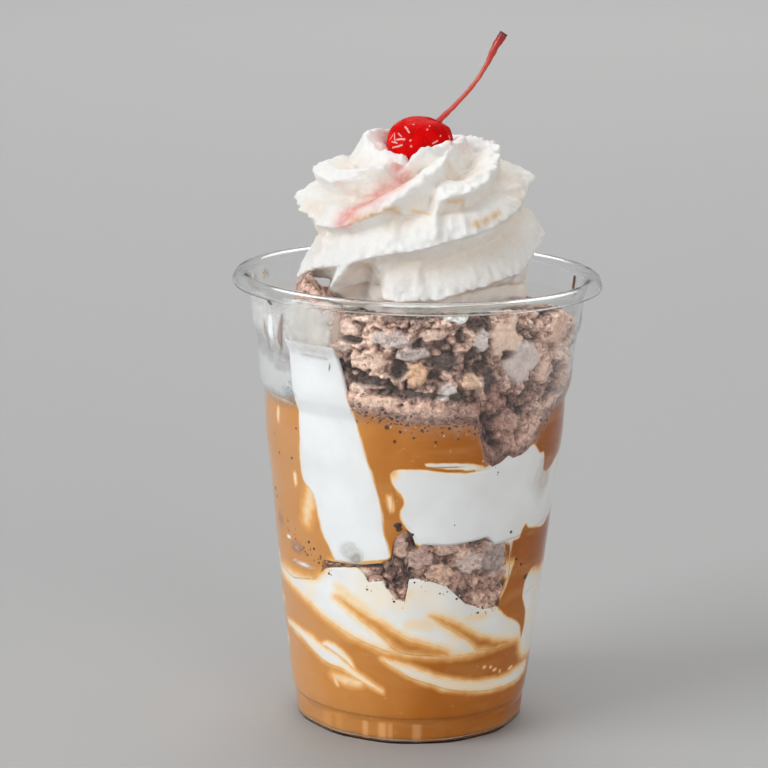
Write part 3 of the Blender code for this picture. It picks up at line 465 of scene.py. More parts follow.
def piece(name, points, faces, look, replaces=(), values=None):
    """A mesh piece that rides on the part, with values kept at its points."""
    if volume(points, faces) < 0:
        faces = [face[::-1] for face in faces]
    mesh = bpy.data.meshes.new(name)
    mesh.from_pydata((points * MM).tolist(), [], faces)
    mesh.materials.append(LOOKS[look])
    mesh.shade_smooth()
    for key, data in (values or {}).items():
        if data.shape[1] > 1:
            store, field = mesh.attributes.new(key, "FLOAT_COLOR", "POINT"), "color"
            data = np.hstack([data, np.ones((len(data), 1))])
        else:
            store, field = mesh.attributes.new(key, "FLOAT", "POINT"), "value"
        store.data.foreach_set(field, data.ravel().astype(np.float32))
    made = bpy.data.objects.new(name, mesh)
    bpy.context.scene.collection.objects.link(made)
    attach(made, "root")
    if replaces:
        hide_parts(*replaces)


def noise_at(points, size, seed=0.0, detail=1):
    """Smooth noise from about -1 to 1 at points, with features of a size in millimetres."""
    shift = Vector((seed * 17.3, seed * 5.1, -seed * 9.7))
    flat = points.reshape(-1, 3)
    total = np.zeros(len(flat))
    for octave in range(detail):
        scale = 2 ** octave / size
        total += [noise.noise(Vector(p) * scale + shift) / 2 ** octave for p in flat]
    return total.reshape(points.shape[:-1])


def hashed(cells, salt):
    """Repeatable random numbers from 0 to 1 for whole-numbered cells."""
    mixed = cells[..., 0] * 73856093 ^ cells[..., 1] * 19349663 ^ cells[..., 2] * 83492791
    mixed = (mixed ^ salt * 97531) & 0xFFFFFFFF
    mixed = (mixed ^ mixed >> 15) * 739982445 & 0xFFFFFFFF
    mixed = (mixed ^ mixed >> 12) * 695872825 & 0xFFFFFFFF
    return ((mixed ^ mixed >> 15) & 0xFFFFFF) / 0xFFFFFF


def near_line(x, y, start, end):
    """Distance of points of a plane from the straight line between two of them."""
    (x0, y0), (x1, y1) = start, end
    dx, dy = x1 - x0, y1 - y0
    share = np.clip(((x - x0) * dx + (y - y0) * dy) / (dx * dx + dy * dy + 1e-9), 0, 1)
    return np.hypot(x - x0 - share * dx, y - y0 - share * dy)


def rounded(outline):
    """An outline with its corners cut twice."""
    points = np.array(outline, float)
    for _ in range(2):
        ahead = np.roll(points, -1, axis=0)
        points = np.stack([0.75 * points + 0.25 * ahead, 0.25 * points + 0.75 * ahead], 1)
        points = points.reshape(-1, 2)
    return points


def distance_inside(outline, angles, heights):
    """Distance in millimetres from an outline at the wall, positive inside it."""
    corners = rounded(outline)
    corners[:, 0] = np.radians(corners[:, 0]) * inner_radius(corners[:, 1])
    x = np.radians(angles) * inner_radius(heights)
    near = np.full(x.shape, FAR)
    inside = np.zeros(x.shape, bool)
    for (x0, z0), (x1, z1) in zip(corners, np.roll(corners, -1, axis=0)):
        near = np.minimum(near, near_line(x, heights, (x0, z0), (x1, z1)))
        if z1 != z0:
            crossed = (z0 > heights) != (z1 > heights)
            inside ^= crossed & (x < x0 + (heights - z0) * (x1 - x0) / (z1 - z0))
    return np.where(inside, near, -near)


def band(rows):
    """Outline of a band that runs round the cup."""
    return [(a, high) for a, low, high in rows] + [(a, low) for a, low, high in rows[::-1]]


def upright(rows):
    """Outline of a band that stands up."""
    return [(left, z) for z, left, right in rows] + [(right, z) for z, left, right in rows[::-1]]


def blob(angle, height, half_width, half_height, lean=0.0):
    turns = np.radians(np.arange(0, 360, 45))
    up = half_height * np.sin(turns)
    return list(zip(angle + half_width * np.cos(turns) + lean * up, height + up))


# places where the wall shows cream, with painted highlight spots that take its colour: outline, and how
# soft its edge is in millimetres
CREAM_AND_HIGHLIGHT_AREAS = [
    (LOWER_OUTLINE, 2.1), (band(RIBBON_FRONT), 1.4), (band(RIBBON_LEFT), 1.3),
    (band(RIBBON_LEFT_CURL), 1.0), (upright(STREAK + [(120, -53, -30)]), 0.35),
    ([(-62, 93.6), (-62, 125), (-18, 125), (-18, 93.6)], 0.5),
    # the blobs from (-63, 86) on are painted highlights: light spots, light bands at the left edge and
    # a highlight streak
    (MIDDLE_OUTLINE, 0.4), (THIN_OUTLINE, 0.3), (blob(-63, 86, 1.0, 2.2), 0.9),
    (blob(-53, 70, 0.9, 2.0), 0.8), (blob(-8.5, 67.5, 0.9, 2.4, -0.3), 0.7),
    (blob(-84, 32, 6, 1.6, 2.0), 2.0), (blob(-84, 44, 6, 1.8, 2.0), 2.0),
    (blob(-84, 20, 5, 2.0, 2.0), 2.2), (blob(-36, 16, 0.9, 1.6, -1.0), 0.8),
]
# yellowish halos in the sauce, which never turn to cream, and small painted highlight flecks
HALOS_AND_HIGHLIGHT_FLECKS = [
    (blob(-45.5, 64, 2.0, 6.0, 0.4), 3.0), (blob(-66, 42, 14, 1.2, -1.0), 2.5),
    # the five small blobs from (36.5, 20.6) to (55.4, 18.2) are painted highlight flecks
    (blob(-30, 17, 8, 1.0, -3.0), 2.0), (blob(36.5, 20.6, 0.8, 0.4), 0.5),
    (blob(40.5, 20.3, 0.7, 0.4), 0.4), (blob(43.5, 19.3, 1.3, 0.35), 0.4),
    (blob(47.5, 18.4, 0.7, 0.4), 0.4), (blob(55.4, 18.2, 1.6, 0.35), 0.5),
    (blob(-2, 72, 3.0, 2.0), 1.6), (blob(-24, 30, 4.0, 0.8, -3.0), 2.2),
    (blob(20, 27, 14, 0.6), 1.2), (blob(2, 59, 2.0, 0.8), 0.8),
]
SAUCE_AREAS = [
    (band(SAUCE_SWIRL_LEFT), 2.1), (band(SAUCE_SWIRL_RIGHT), 1.8),
    (SAUCE_RIGHT_OUTLINE, 0.5), (blob(-7.5, 76, 0.6, 0.6), 2.2),
]
# cream with sauce stirred in, which turns tan but not to sauce
TANS = [
    (band([(-33, 42, 44), (-26, 38, 41.5), (-18, 34.6, 38), (-10, 32, 34)]), 3.0),
    (blob(4, 34.5, 5, 0.6, -2.0), 3.5), (blob(-3, 43.5, 3.0, 0.8), 2.5),
    (blob(30, 35.5, 5, 0.4, -3.0), 2.5),
]


def paint(grid):
    """How far each point lies in cream (positive) or sauce, in widths of the soft edge; painted
    highlight spots count as cream.
    """
    angles = angles_of(grid) + 0.7 * noise_at(grid, 5.0, 5, 2)
    heights = grid[..., 2] + 0.4 * noise_at(grid, 4.0, 3, 2)
    cream = np.full(angles.shape, -PAINT_MOST)

    def depths(areas):
        return (distance_inside(outline, angles, heights) / soft for outline, soft in areas)

    for depth in depths(CREAM_AND_HIGHLIGHT_AREAS):
        cream = np.maximum(cream, depth)
    for depth in depths(HALOS_AND_HIGHLIGHT_FLECKS):
        cream = np.maximum(cream, np.minimum(depth, 0.2))
    for depth in depths(SAUCE_AREAS):
        cream = np.minimum(cream, -depth)
    for depth in depths(TANS):
        cream = np.minimum(cream, 0.32 + 1.2 * np.clip(-depth, 0, PAINT_MOST))
    return np.clip(cream, -PAINT_MOST, PAINT_MOST)


def foot_painted_highlights_and_shade(grid):
    """Painted highlights of the flutes as light bars (positive), and a painted shade line at the cup's
    step with the foot darker below it (negative).
    """
    angles, heights = angles_of(grid), grid[..., 2]
    total = -0.25 * (heights < FOOT_SHADE_LINE - 0.3)
    for angle, half, strength in FOOT_HIGHLIGHT_BARS:
        inside = np.exp(-((angles - angle) / half) ** 4)
        total = total + strength * inside * np.clip((FOOT_HIGHLIGHT_TOP - heights) / 0.8, 0, 1)
    line = np.exp(-((heights - FOOT_SHADE_LINE) / 0.28) ** 2)
    return np.where(line > 0.3, -line, total) * (heights < FOOT_SHADE_LINE + 1.5)


def crumbs_near(grid):
    """How strongly the sauce is mixed with crumbs under the upper crumble."""
    angles, heights = angles_of(grid), grid[..., 2]
    under = around(SAUCE_UPPER_TOP, angles) - heights + noise_at(grid, 3.0, 8)
    front = np.clip((angles + 31) / 4, 0, 1)
    return np.clip(1 - under / 4.2, 0, 1) * (heights > STIRRED_FROM) * front


# ---------------------------------------------------------------- materials
class Look:
    """A material, with short ways to add nodes to it."""

    def __init__(self, name, **settings):
        self.made = bpy.data.materials.new(name)
        self.made.use_nodes = True
        self.nodes = self.made.node_tree.nodes
        self.shader = self.nodes["Principled BSDF"]
        self.set(**settings)

    def fill(self, made, inputs):
        """Set a node's sockets to values, or link them to the outputs of other nodes."""
        for key, value in inputs.items():
            socket = made.inputs[key.replace("_", " ") if isinstance(key, str) else key]
            if isinstance(value, bpy.types.NodeSocket):
                self.made.node_tree.links.new(value, socket)
            elif socket.type == "RGBA":
                socket.default_value = (*value, 1)
            else:
                socket.default_value = value
        return made

    def set(self, **settings):
        self.fill(self.shader, settings)

    def node(self, kind, **inputs):
        return self.fill(self.nodes.new("ShaderNode" + kind), inputs)

    def place(self):
        return self.node("TexCoord").outputs["Object"]

    def kept(self, name, output="Fac"):
        made = self.node("Attribute")
        made.attribute_name = name
        return made.outputs[output]

    def noise(self, size, detail=3.0, rough=0.5, seed=0.0, squeeze=1.0):
        """Noise whose features have a size in millimetres, squeezed in height."""
        spot = self.node("Mapping", Vector=self.place(), Scale=(1, 1, squeeze),
                         Location=(seed, -seed, seed * 0.7))
        return self.node("TexNoise", Vector=spot.outputs[0], Scale=1000 / size, Detail=detail,
                         Roughness=rough).outputs["Fac"]

    def ramp(self, factor, *stops):
        made = self.node("ValToRGB", Fac=factor)
        items = made.color_ramp.elements
        while len(items) < len(stops):
            items.new(0.5)
        for item, (spot, colour) in zip(items, stops):
            item.position = spot
            item.color = (*colour, 1)
        return made.outputs["Color"]

    def mask(self, factor, start, end, most=1.0):
        """Grey that rises from 0 at start to the most at end."""
        return self.ramp(factor, (start, (0, 0, 0)), (end, (most, most, most)))

    def math(self, how, *values):
        made = self.node("Math")
        made.operation = how
        return self.fill(made, dict(enumerate(values))).outputs[0]

    def scaled(self, value, by, plus):
        return self.math("MULTIPLY_ADD", value, by, plus)

    def times(self, value, by):
        return self.math("MULTIPLY", value, by)

    def clamped(self, value, most=1.0):
        return self.math("MINIMUM", self.math("MAXIMUM", value, 0.0), most)

    def blend(self, factor, a, b, how="MIX"):
        made = self.node("Mix")
        made.data_type = "RGBA"
        made.blend_type = how
        return self.fill(made, {0: factor, 6: a, 7: b}).outputs[2]

    def bump(self, height, distance, strength=1.0):
        return self.node("Bump", Height=height, Distance=distance * MM,
                         Strength=strength).outputs[0]


def clear_plastic(look):
    """Clear sheet that lamps shine through, a little uneven."""
    look.set(Base_Color=(0.97, 0.98, 0.98), Roughness=0.02, IOR=1.36, Transmission_Weight=1.0,
             Normal=look.bump(look.noise(14, 1.0), 0.25, 0.5))
    lamp_way = look.node("BsdfTransparent", Color=(0.96, 0.97, 0.97)).outputs[0]
    shadow = look.node("LightPath").outputs["Is Shadow Ray"]
    both = look.fill(look.node("MixShader"), {0: shadow, 1: look.shader.outputs[0], 2: lamp_way})
    look.fill(look.nodes["Material Output"], {"Surface": both.outputs[0]})


def sauce_and_cream(look):
    """Caramel sauce and cream that lie swirled against the wall."""
    edge = look.scaled(look.noise(2.0, 4.0, 0.6), 0.7, -0.35)
    depth = look.scaled(look.math("ADD", look.kept("cream"), edge), 0.5, 0.5)
    across = look.node("SeparateXYZ", Vector=look.place()).outputs
    # the sauce is painted darker and redder to the right as painted shade, and lighter and milkier to
    # the left as a painted sheen of the window, less so near the foot
    side = look.scaled(across["X"], 12.0, 0.42)
    low = look.clamped(look.scaled(across["Z"], -60.0, 3.2))
    over = look.math("MAXIMUM", look.math("SUBTRACT", side, 0.52), 0.0)
    side = look.math("SUBTRACT", side, look.times(low, look.scaled(over, 0.75, 0.03)))
    side = look.scaled(look.noise(12), 0.35, side)
    sauce = look.ramp(side, (0.05, (0.54, 0.30, 0.145)), (0.35, (0.51, 0.225, 0.055)),
                      (0.65, (0.39, 0.125, 0.010)), (1.0, (0.30, 0.078, 0.004)))
    # milky streaks, specks, the foot's painted highlights and painted shade line, and crumbs stirred in
    marks, mixed = look.kept("marks"), look.kept("crumbs")
    brown = look.scaled(look.noise(2.4, 4.0, 0.6, 0.9), 2.4, -0.5)
    brown = look.clamped(look.times(brown, look.math("POWER", mixed, 1.5)), 0.9)
    grain = look.scaled(mixed, 0.22, look.noise(0.8, 2.0, 0.5, 0.6))
    for share, shade in (
        (look.mask(look.noise(1000 / 55, squeeze=4.5), 0.5, 0.75, 0.4), (0.54, 0.265, 0.09)),
        (look.mask(look.noise(1.0, 2.0, 0.5, 0.3), 0.69, 0.74, 0.7), (0.62, 0.33, 0.13)),
        (look.math("MAXIMUM", marks, 0.0), (0.66, 0.36, 0.16)),
        (look.math("MAXIMUM", look.times(marks, -0.55), 0.0), (0.13, 0.04, 0.008)),
        (brown, (0.40, 0.25, 0.17)),
        (look.mask(grain, 0.74, 0.79, 0.9), (0.10, 0.05, 0.04)),
    ):
        sauce = look.blend(share, sauce, shade)
    cream = look.ramp(look.noise(9, 2.0), (0.3, (0.665, 0.67, 0.67)), (0.7, (0.725, 0.735, 0.74)))
    warm = look.times(look.mask(look.noise(16, 2.0, 0.5, 0.4), 0.46, 0.64, 0.75), low)
    cream = look.blend(warm, cream, (0.80, 0.66, 0.46))
    # sauce turns to cream through two mixed tones
    colour = sauce
    for start, end, shade in ((0.0, 0.38, (0.68, 0.35, 0.105)), (0.32, 0.68, (0.78, 0.61, 0.39)),
                              (0.6, 1.0, cream)):
        colour = look.blend(look.mask(depth, start, end), colour, shade)
    look.set(Base_Color=colour, Roughness=0.5, Specular_IOR_Level=0.08)


def crumble_look(look):
    """Baked crumble: coloured lump by lump, with a fine grain."""
    shift = look.node("TexNoise", Vector=look.place(), Scale=900, Detail=2.0).outputs["Color"]
    spot = look.node("VectorMath")
    spot.operation = "MULTIPLY_ADD"
    look.fill(spot, {0: shift, 1: (0.9 * MM,) * 3, 2: look.place()})
    grains = look.node("TexVoronoi", Vector=spot.outputs[0], Scale=1000 / 0.95).outputs
    shade = look.node("SeparateColor", Color=grains["Color"]).outputs[0]
    fine = look.noise(0.7, 5.0, 0.7)
    light = look.ramp(look.scaled(shade, 0.5, fine), (0.42, (0.36, 0.33, 0.32)),
                      (0.6, (0.85, 0.83, 0.82)), (0.8, (1.12, 1.1, 1.08)), (1.0, (1.4, 1.38, 1.36)))
    plain = look.kept("plain")
    light = look.blend(plain, light, (0.98, 0.98, 0.98))
    height = look.times(look.scaled(grains["Distance"], -0.8, fine), look.math("SUBTRACT", 1.0, plain))
    look.set(Base_Color=look.blend(1.0, look.kept("tint", "Color"), light, "MULTIPLY"),
             Roughness=0.85, Specular_IOR_Level=0.2, Normal=look.bump(height, 0.6, 0.8))


def smear_and_painted_light_look(look):
    """Thin smears of cream and sauce on the wall, with a painted reflection and a painted shade line,
    see-through where they thin out.
    """
    uneven = look.scaled(look.noise(1000 / 230, 4.0, squeeze=0.5), 1.3, 0.3)
    cover = look.math("MINIMUM", look.times(look.kept("cover"), uneven), 1.0)
    look.set(Base_Color=look.kept("tint", "Color"), Alpha=cover, Roughness=0.45,
             Specular_IOR_Level=0.2)


def whipped_look(look):
    """Whipped cream with tiny pores, stains, syrup, and painted shade in its valleys in the stain
    colour.
    """
    colour = look.ramp(look.noise(12), (0.35, (0.92, 0.90, 0.87)), (0.65, (0.955, 0.95, 0.93)))
    patchy = look.scaled(look.noise(2.2, 4.0, 0.6), 1.6, -0.1)
    for name, shade in (("stain_and_valley_shade", (0.80, 0.52, 0.25)), ("syrup", (0.80, 0.17, 0.12))):
        colour = look.blend(look.times(look.kept(name), patchy), colour, shade)
    look.set(Base_Color=colour, Roughness=0.5, Specular_IOR_Level=0.35, Subsurface_Weight=0.3,
             Subsurface_Radius=(1.0, 0.8, 0.6), Subsurface_Scale=2 * MM,
             Normal=look.bump(look.noise(1.3, 5.0, 0.65), 0.45, 0.8))


def cherry_skin(look):
    """Candied red skin under a film of syrup, its shine broken into flecks, with painted highlight
    strokes in its colour.
    """
    colour = look.ramp(look.noise(3.2, 4.0, 0.6), (0.3, (0.46, 0.0006, 0.001)),
                       (0.55, (0.72, 0.0008, 0.0014)), (0.85, (0.84, 0.003, 0.002)))
    look.set(Base_Color=look.blend(look.kept("glint"), colour, (0.95, 0.72, 0.68)), Roughness=0.5,
             Specular_IOR_Level=0.04, Coat_Weight=0.08, Coat_IOR=1.3, Coat_Roughness=0.05,
             Normal=look.bump(look.noise(2.0, 4.0), 0.5, 0.8),
             Coat_Normal=look.bump(look.noise(2.6, 3.0, 0.6, 0.5), 1.1))


def stalk_look(look):
    """A red stalk, dark at its knob and streaked."""
    height = look.node("SeparateXYZ", Vector=look.place()).outputs["Z"]
    long = 24.5 * MM
    along = look.scaled(height, 1 / long, -160.3 * MM / long)
    colour = look.ramp(along, (0.0, (0.60, 0.03, 0.02)), (0.5, (0.68, 0.10, 0.06)),
                       (0.8, (0.62, 0.05, 0.03)), (0.93, (0.45, 0.02, 0.02)), (1.0, (0.16, 0.02, 0.02)))
    streaks = look.ramp(look.noise(1.2, 4.0, 0.7), (0.3, (0.75, 0.7, 0.7)), (0.7, (1.15, 1.15, 1.15)))
    look.set(Base_Color=look.blend(1.0, colour, streaks, "MULTIPLY"), Roughness=0.35,
             Coat_Weight=0.25, Normal=look.bump(look.noise(0.7), 0.15, 0.6))


LOOKS = {}
for title, dress in (
    ("clear_plastic", clear_plastic), ("caramel_sauce", sauce_and_cream),
    ("cream", sauce_and_cream), ("crumble", crumble_look), ("smears_and_painted_light", smear_and_painted_light_look),
    ("whipped_cream", whipped_look), ("cherry", cherry_skin), ("cherry_stem", stalk_look),
):
    made_look = Look(title)
    dress(made_look)
    LOOKS[title] = made_look.made


# ---------------------------------------------------------------- pieces
def cup():
    """The cup: fluted foot, stepped side and an open rolled rim."""
    outside = [(STAND_INNER - 0.7, RECESS), (STAND_INNER - 0.3, 0.4), (STAND_INNER + 0.2, 0),
               (STAND_OUTER, 0), (30.3, 0.25)]
    outside += list(zip(SIDE_RADII, SIDE_HEIGHTS))
    inside = [(STAND_INNER - 0.6, RECESS + WALL), (STAND_INNER + 0.2, WALL + 0.3),
              (STAND_INNER + 0.6, WALL + 0.1), (STAND_OUTER - 0.4, WALL + 0.1),
              (30.0, 1.4)]
    inside += [(r - WALL, z) for r, z in zip(SIDE_RADII[4:], SIDE_HEIGHTS[4:])]
    for turn in np.radians(np.linspace(180, RIM_END, 22)):
        way = np.array([math.cos(turn), math.sin(turn)])
        outside.append(tuple(RIM_CENTRE + way * (RIM_RADIUS - WALL)))
        inside.append(tuple(RIM_CENTRE + way * RIM_RADIUS))
    radii, heights = np.array(outside + inside[::-1]).T
    angles = np.linspace(0, 360, CUP_SEGMENTS, endpoint=False)[:, None]
    on_side = (radii > STAND_OUTER + 0.3) & (radii < 31.5)
    radii = radii - np.where(on_side, flute(angles, heights), 0)
    solid("cup_clear", polar(angles, radii, heights), "clear_plastic", ("cup",))


def bed(lows, tops, centres, inner, count, back=None, climb=None):
    """Heights and shares of the radius of a layer: out, up the wall and back over its top."""
    inner = np.array(inner)
    back = inner[::-1] if back is None else back
    climb = back if climb is None else climb
    heights = np.hstack([between(centres[0], lows, inner),
                         between(lows, tops, np.linspace(0, 1, count)),
                         between(centres[1], tops, climb)])
    return heights, np.concatenate([inner, np.ones(count), back])


def layer_grid(lows, tops, centres):
    """Grid of a layer that goes all round the cup."""
    count = max(3, int(np.max(tops - lows) / LAYER_ROW))
    heights, part = bed(lows, tops, centres, (0.15, 0.5, 0.85), count)
    return polar(LAYER_ANGLES[:, None], part * (inner_radius(heights) + SOAK), heights)


def layers():
    """Sauce and cream from the floor up, then what lies in front of them at the wall."""
    base, cream, lower, middle, upper = CENTRE_HEIGHTS.values()
    sauce_low, cream_low, crumble_low, sauce_high = (
        around(rows, LAYER_ANGLES)
        for rows in (SAUCE_BASE_TOP, CREAM_LOWER_TOP, CRUMBLE_LOWER_TOP, SAUCE_UPPER_TOP))
    column = LAYER_ANGLES[:, None]

    def add(name, grid, slot, title="look", all_round=False):
        values = {"cream": paint(grid)}
        if all_round:
            # marks: the foot's painted highlights and painted shade line
            values.update({"marks": foot_painted_highlights_and_shade(grid), "crumbs": crumbs_near(grid)})
        solid(f"{name}_{title}", grid, slot, (name,), values, all_round)

    grid = layer_grid(np.full(len(LAYER_ANGLES), FOOT_FLOOR + 0.05), sauce_low, (FOOT_FLOOR, base))
    foot = np.array([(10, FOOT_FLOOR), (26.4, FOOT_FLOOR), (27.4, 0.68), (29.25, 0.68), (30.1, 1.6)])
    grid = np.concatenate([polar(column, foot[:, 0], foot[:, 1]), grid[:, 3:]], axis=1)
    radii, levels = np.hypot(grid[..., 0], grid[..., 1]), grid[..., 2]
    radii = radii - np.where(radii > STAND_OUTER + 0.2, flute(column, levels), 0)
    add("sauce_base", polar(column, radii, levels), "caramel_sauce", all_round=True)
    grid = layer_grid(sauce_low - OVERLAP, cream_low + OVERLAP, (base, cream))
    add("cream_lower", grid, "cream", all_round=True)
    hidden = around(CRUMBLE_BEHIND_SAUCE, LAYER_ANGLES)
    sauce_from = crumble_low * (1 - hidden) + cream_low * hidden - 2 * OVERLAP
    grid = layer_grid(sauce_from, sauce_high, (lower, upper))
    add("sauce_upper", grid, "caramel_sauce", all_round=True)

    angles = np.arange(CREAM_MIDDLE_TOP[0][0], CREAM_MIDDLE_TOP[-1][0] + 0.1, 0.75)
    lows = np.where(angles < CREAM_MIDDLE_LOW[-1][0], table(CREAM_MIDDLE_LOW, angles),
                    around(CRUMBLE_LOWER_TOP, angles))
    heights, part = bed(lows, table(CREAM_MIDDLE_TOP, angles), (lower, middle),
                        [CREAM_MIDDLE_HEART], 44)
    grid = polar(angles[:, None], part * (inner_radius(heights) + SOAK + 0.02), heights)
    add("cream_middle", grid, "cream")

    for name, rows, slot, title in (
        ("cream_ribbon_front", RIBBON_FRONT, "cream", "look"),
        ("cream_ribbon_left", RIBBON_LEFT, "cream", "look"),
        ("cream_ribbon_left", RIBBON_LEFT_CURL, "cream", "curl"),
        ("sauce_swirl_left", SAUCE_SWIRL_LEFT, "caramel_sauce", "look"),
        ("sauce_swirl_right", SAUCE_SWIRL_RIGHT, "caramel_sauce", "look"),
    ):
        add(name, lying_grid(rows), slot, title)
    add("cream_streak", upright_grid(STREAK, STREAK_DEPTH, SOAK + 0.04), "cream")
    add("sauce_right", upright_grid(SAUCE_RIGHT, SAUCE_RIGHT_DEPTH, SOAK + 0.06), "caramel_sauce")


def lying_grid(rows):
    """Grid of a ribbon that runs round the wall: each column is a loop across it."""
    angles = np.arange(rows[0][0], rows[-1][0] + 0.01, 0.75)[:, None]
    share = np.linspace(0, 1, 9)
    face = between(table(rows, angles[:, 0]), table(rows, angles[:, 0], 2), share)
    back = face[:, ::-1]
    depth = RIBBON_DEPTH * np.sin(np.pi * np.clip(share, 0.12, 0.88))
    front = polar(angles, inner_radius(face) + SOAK + 0.04, face)
    rear = polar(angles, inner_radius(back) - depth, back)
    return np.concatenate([front, rear], axis=1)


def upright_grid(rows, depth, soak):
    """Grid of a streak that stands against the wall: each column is a level loop."""
    heights = np.arange(rows[0][0], rows[-1][0] + 0.01, 0.6)
    share = np.linspace(0, 1, 34)
    angles = between(table(rows, heights), table(rows, heights, 2), share)
    level = heights[:, None]
    deep = depth * np.sin(np.pi * np.clip(share, 0.06, 0.94))
    front = polar(angles, inner_radius(level) + soak, level)
    rear = polar(angles[:, ::-1], inner_radius(level) - deep, level)
    return np.concatenate([front, rear], axis=1)


def crumble_relief(points):
    """How far crumble stands back from its outer skin, and each point's tone."""
    warp = np.stack([noise_at(points, 4.0, n, 2) for n in (1, 2, 3)], -1)
    depth, tones = 0.3 * noise_at(points, 0.9, 7) - 1.0, 0.0
    for size, salt, bend, relief, power, crack, crack_width, weight in LUMPS:
        gap, tone = chunks(points + bend * warp, size, salt)
        depth = depth + relief * (1 - tone) ** power + crack * np.exp(-((gap / crack_width) ** 2))
        tones = tones + weight * tone
    return np.clip(depth, 0, RELIEF_MOST), tones


def chunks(points, size, salt):
    """Broken lumps that fill space: distance to the next lump in sizes, and random number."""
    cells = np.floor(points / size).astype(np.int64)
    first = np.full(points.shape[:-1], FAR)
    second, tone = first.copy(), np.zeros(first.shape)
    for step in itertools.product((-1, 0, 1), repeat=3):
        cell = cells + np.array(step)
        jitter = np.stack([hashed(cell, salt + n) for n in range(3)], -1)
        away = np.linalg.norm(points - (cell + jitter) * size, axis=-1)
        closer = away < first
        second = np.where(closer, first, np.minimum(second, away))
        tone = np.where(closer, hashed(cell, salt + 4), tone)
        first = np.where(closer, away, first)
    return (second - first) / size, tone


def tint_of(tone, depth):
    """Colour of crumble: painted shade where it lies back, mixed browns where it stands out."""
    tints, last = np.array(TINTS), len(TINTS) - 1
    level = np.clip(1.4 + 4.0 * tone - 0.95 * np.maximum(depth - 0.4, 0), 0, last)
    low = np.floor(level).astype(int).clip(0, last - 1)
    share = (level - low)[..., None]
    return tints[low] * (1 - share) + tints[low + 1] * share


def with_patches(grid, depth, tint):
    """Relief and colour with the patches of the wall laid in, and how plain they are."""
    angles, radius = angles_of(grid), np.hypot(grid[..., 0], grid[..., 1])
    ragged = 0.35 * noise_at(grid, 2.4, 12, 2)
    at_wall = radius > inner_radius(grid[..., 2]) - 1.5
    plain = np.zeros(depth.shape)
    for angle, height, wide, tall, colour, back in PATCHES:
        x = np.radians(angles - angle) * radius / wide
        reach = np.hypot(x, (grid[..., 2] - height) / tall) + ragged
        share = np.clip((1 - reach) * 5, 0, 1) * at_wall
        if back < 1:
            wanted = np.maximum(back, 0.25 * depth)
            plain = np.maximum(plain, (0.75 if wide > 5 and tall > 4 else 0.3) * share)
        else:
            # these are dark gaps: their colour is painted shade
            wanted = depth + back
        depth = depth * (1 - share) + np.clip(wanted, 0, RELIEF_MOST) * share
        tint = tint * (1 - share[..., None]) + np.array(colour) * share[..., None]
    return depth, tint, plain


def upper_crumble():
    """Upper bed of crumble, a skin that dips back between its lumps, with a heap on top."""
    column = CRUMBLE_ANGLES[:, None]
    inner = (0.2, 0.6, 0.9)
    shares = np.linspace(1, 0.02, 76)[1:]
    plateau = around(PLATEAU, column)
    climb = np.maximum(0, (shares - plateau) / (1 - plateau))
    lows = around(SAUCE_UPPER_TOP, CRUMBLE_ANGLES) - OVERLAP
    tops = around(CRUMBLE_UPPER_TOP, CRUMBLE_ANGLES)
    centres = CENTRE_HEIGHTS["sauce_upper"], CRUMBLE_TOP
    heights, part = bed(lows, tops, centres, inner, 84, shares, climb)
    radii = part * (inner_radius(heights) + SOAK)
    skin = polar(column, radii, heights)
    depth, tone = crumble_relief(skin)
    above = heights - lows[:, None]
    depth = depth * np.clip((above - 2.2) / 3.5, 0, 1)
    paste = np.clip(1 - (above + noise_at(skin, 3.0, 14, 2) - 1.6) / 2.2, 0, 1)[..., None]
    tint = tint_of(tone, depth) * (1 - 0.85 * paste) + np.array(PASTE) * 0.85 * paste
    depth, tint, plain = with_patches(skin, depth, tint)
    shaded = np.exp(-(((column - 32) / 17) ** 2)) * np.clip((103 - heights) / 8, 0, 1)
    tint = tint * (1 - shaded[..., None] * np.array(SHADED_LOSS))
    on_top = np.arange(len(part)) >= len(part) - len(shares)
    edge = np.clip((part - 0.93) / 0.07, 0, 1)
    inward = np.where(on_top, edge, 1.0)
    inward[:len(inner)] = 0
    heap_angle, heap_width, heap_part, heap_reach, heap_height = HEAP
    heap = heap_height * np.exp(-(((column - heap_angle) / heap_width) ** 2)
                                - ((part - heap_part) / heap_reach) ** 2)
    heights = heights + np.where(on_top, (1.2 - 0.8 * depth + heap) * (1 - edge), 0)
    grid = polar(column, radii - depth * inward, heights)
    flat = (grid[..., 0] < POCKET_X) & (heights > 80)
    grid[..., 0] = np.where(flat, POCKET_X, grid[..., 0])
    solid("crumble_upper_look", grid, "crumble", ("crumble_upper",), {"tint": tint, "plain": plain})


def lower_crumble():
    """Lower bed of crumble, flatter, which lies back where the sauce covers it."""
    column = CRUMBLE_ANGLES[:, None]
    lows = around(CREAM_LOWER_TOP, CRUMBLE_ANGLES) - OVERLAP
    tops = around(CRUMBLE_LOWER_TOP, CRUMBLE_ANGLES) + OVERLAP
    centres = CENTRE_HEIGHTS["cream_lower"], CENTRE_HEIGHTS["crumble_lower"]
    heights, part = bed(lows, tops, centres, (0.2, 0.6, 0.93), 42)
    radii = part * (inner_radius(heights) + SOAK)
    skin = polar(column, radii, heights)
    depth, tone = crumble_relief(skin + 50)
    depth, tint, plain = with_patches(skin, 0.7 * depth, tint_of(tone, 0.7 * depth))
    depth = np.where(part == 1, depth + 2.5 * around(CRUMBLE_HIDDEN, column), 0)
    solid("crumble_lower_look", polar(column, radii - depth, heights), "crumble",
          ("crumble_lower",), {"tint": tint * np.array(LOWER_TINT), "plain": plain})


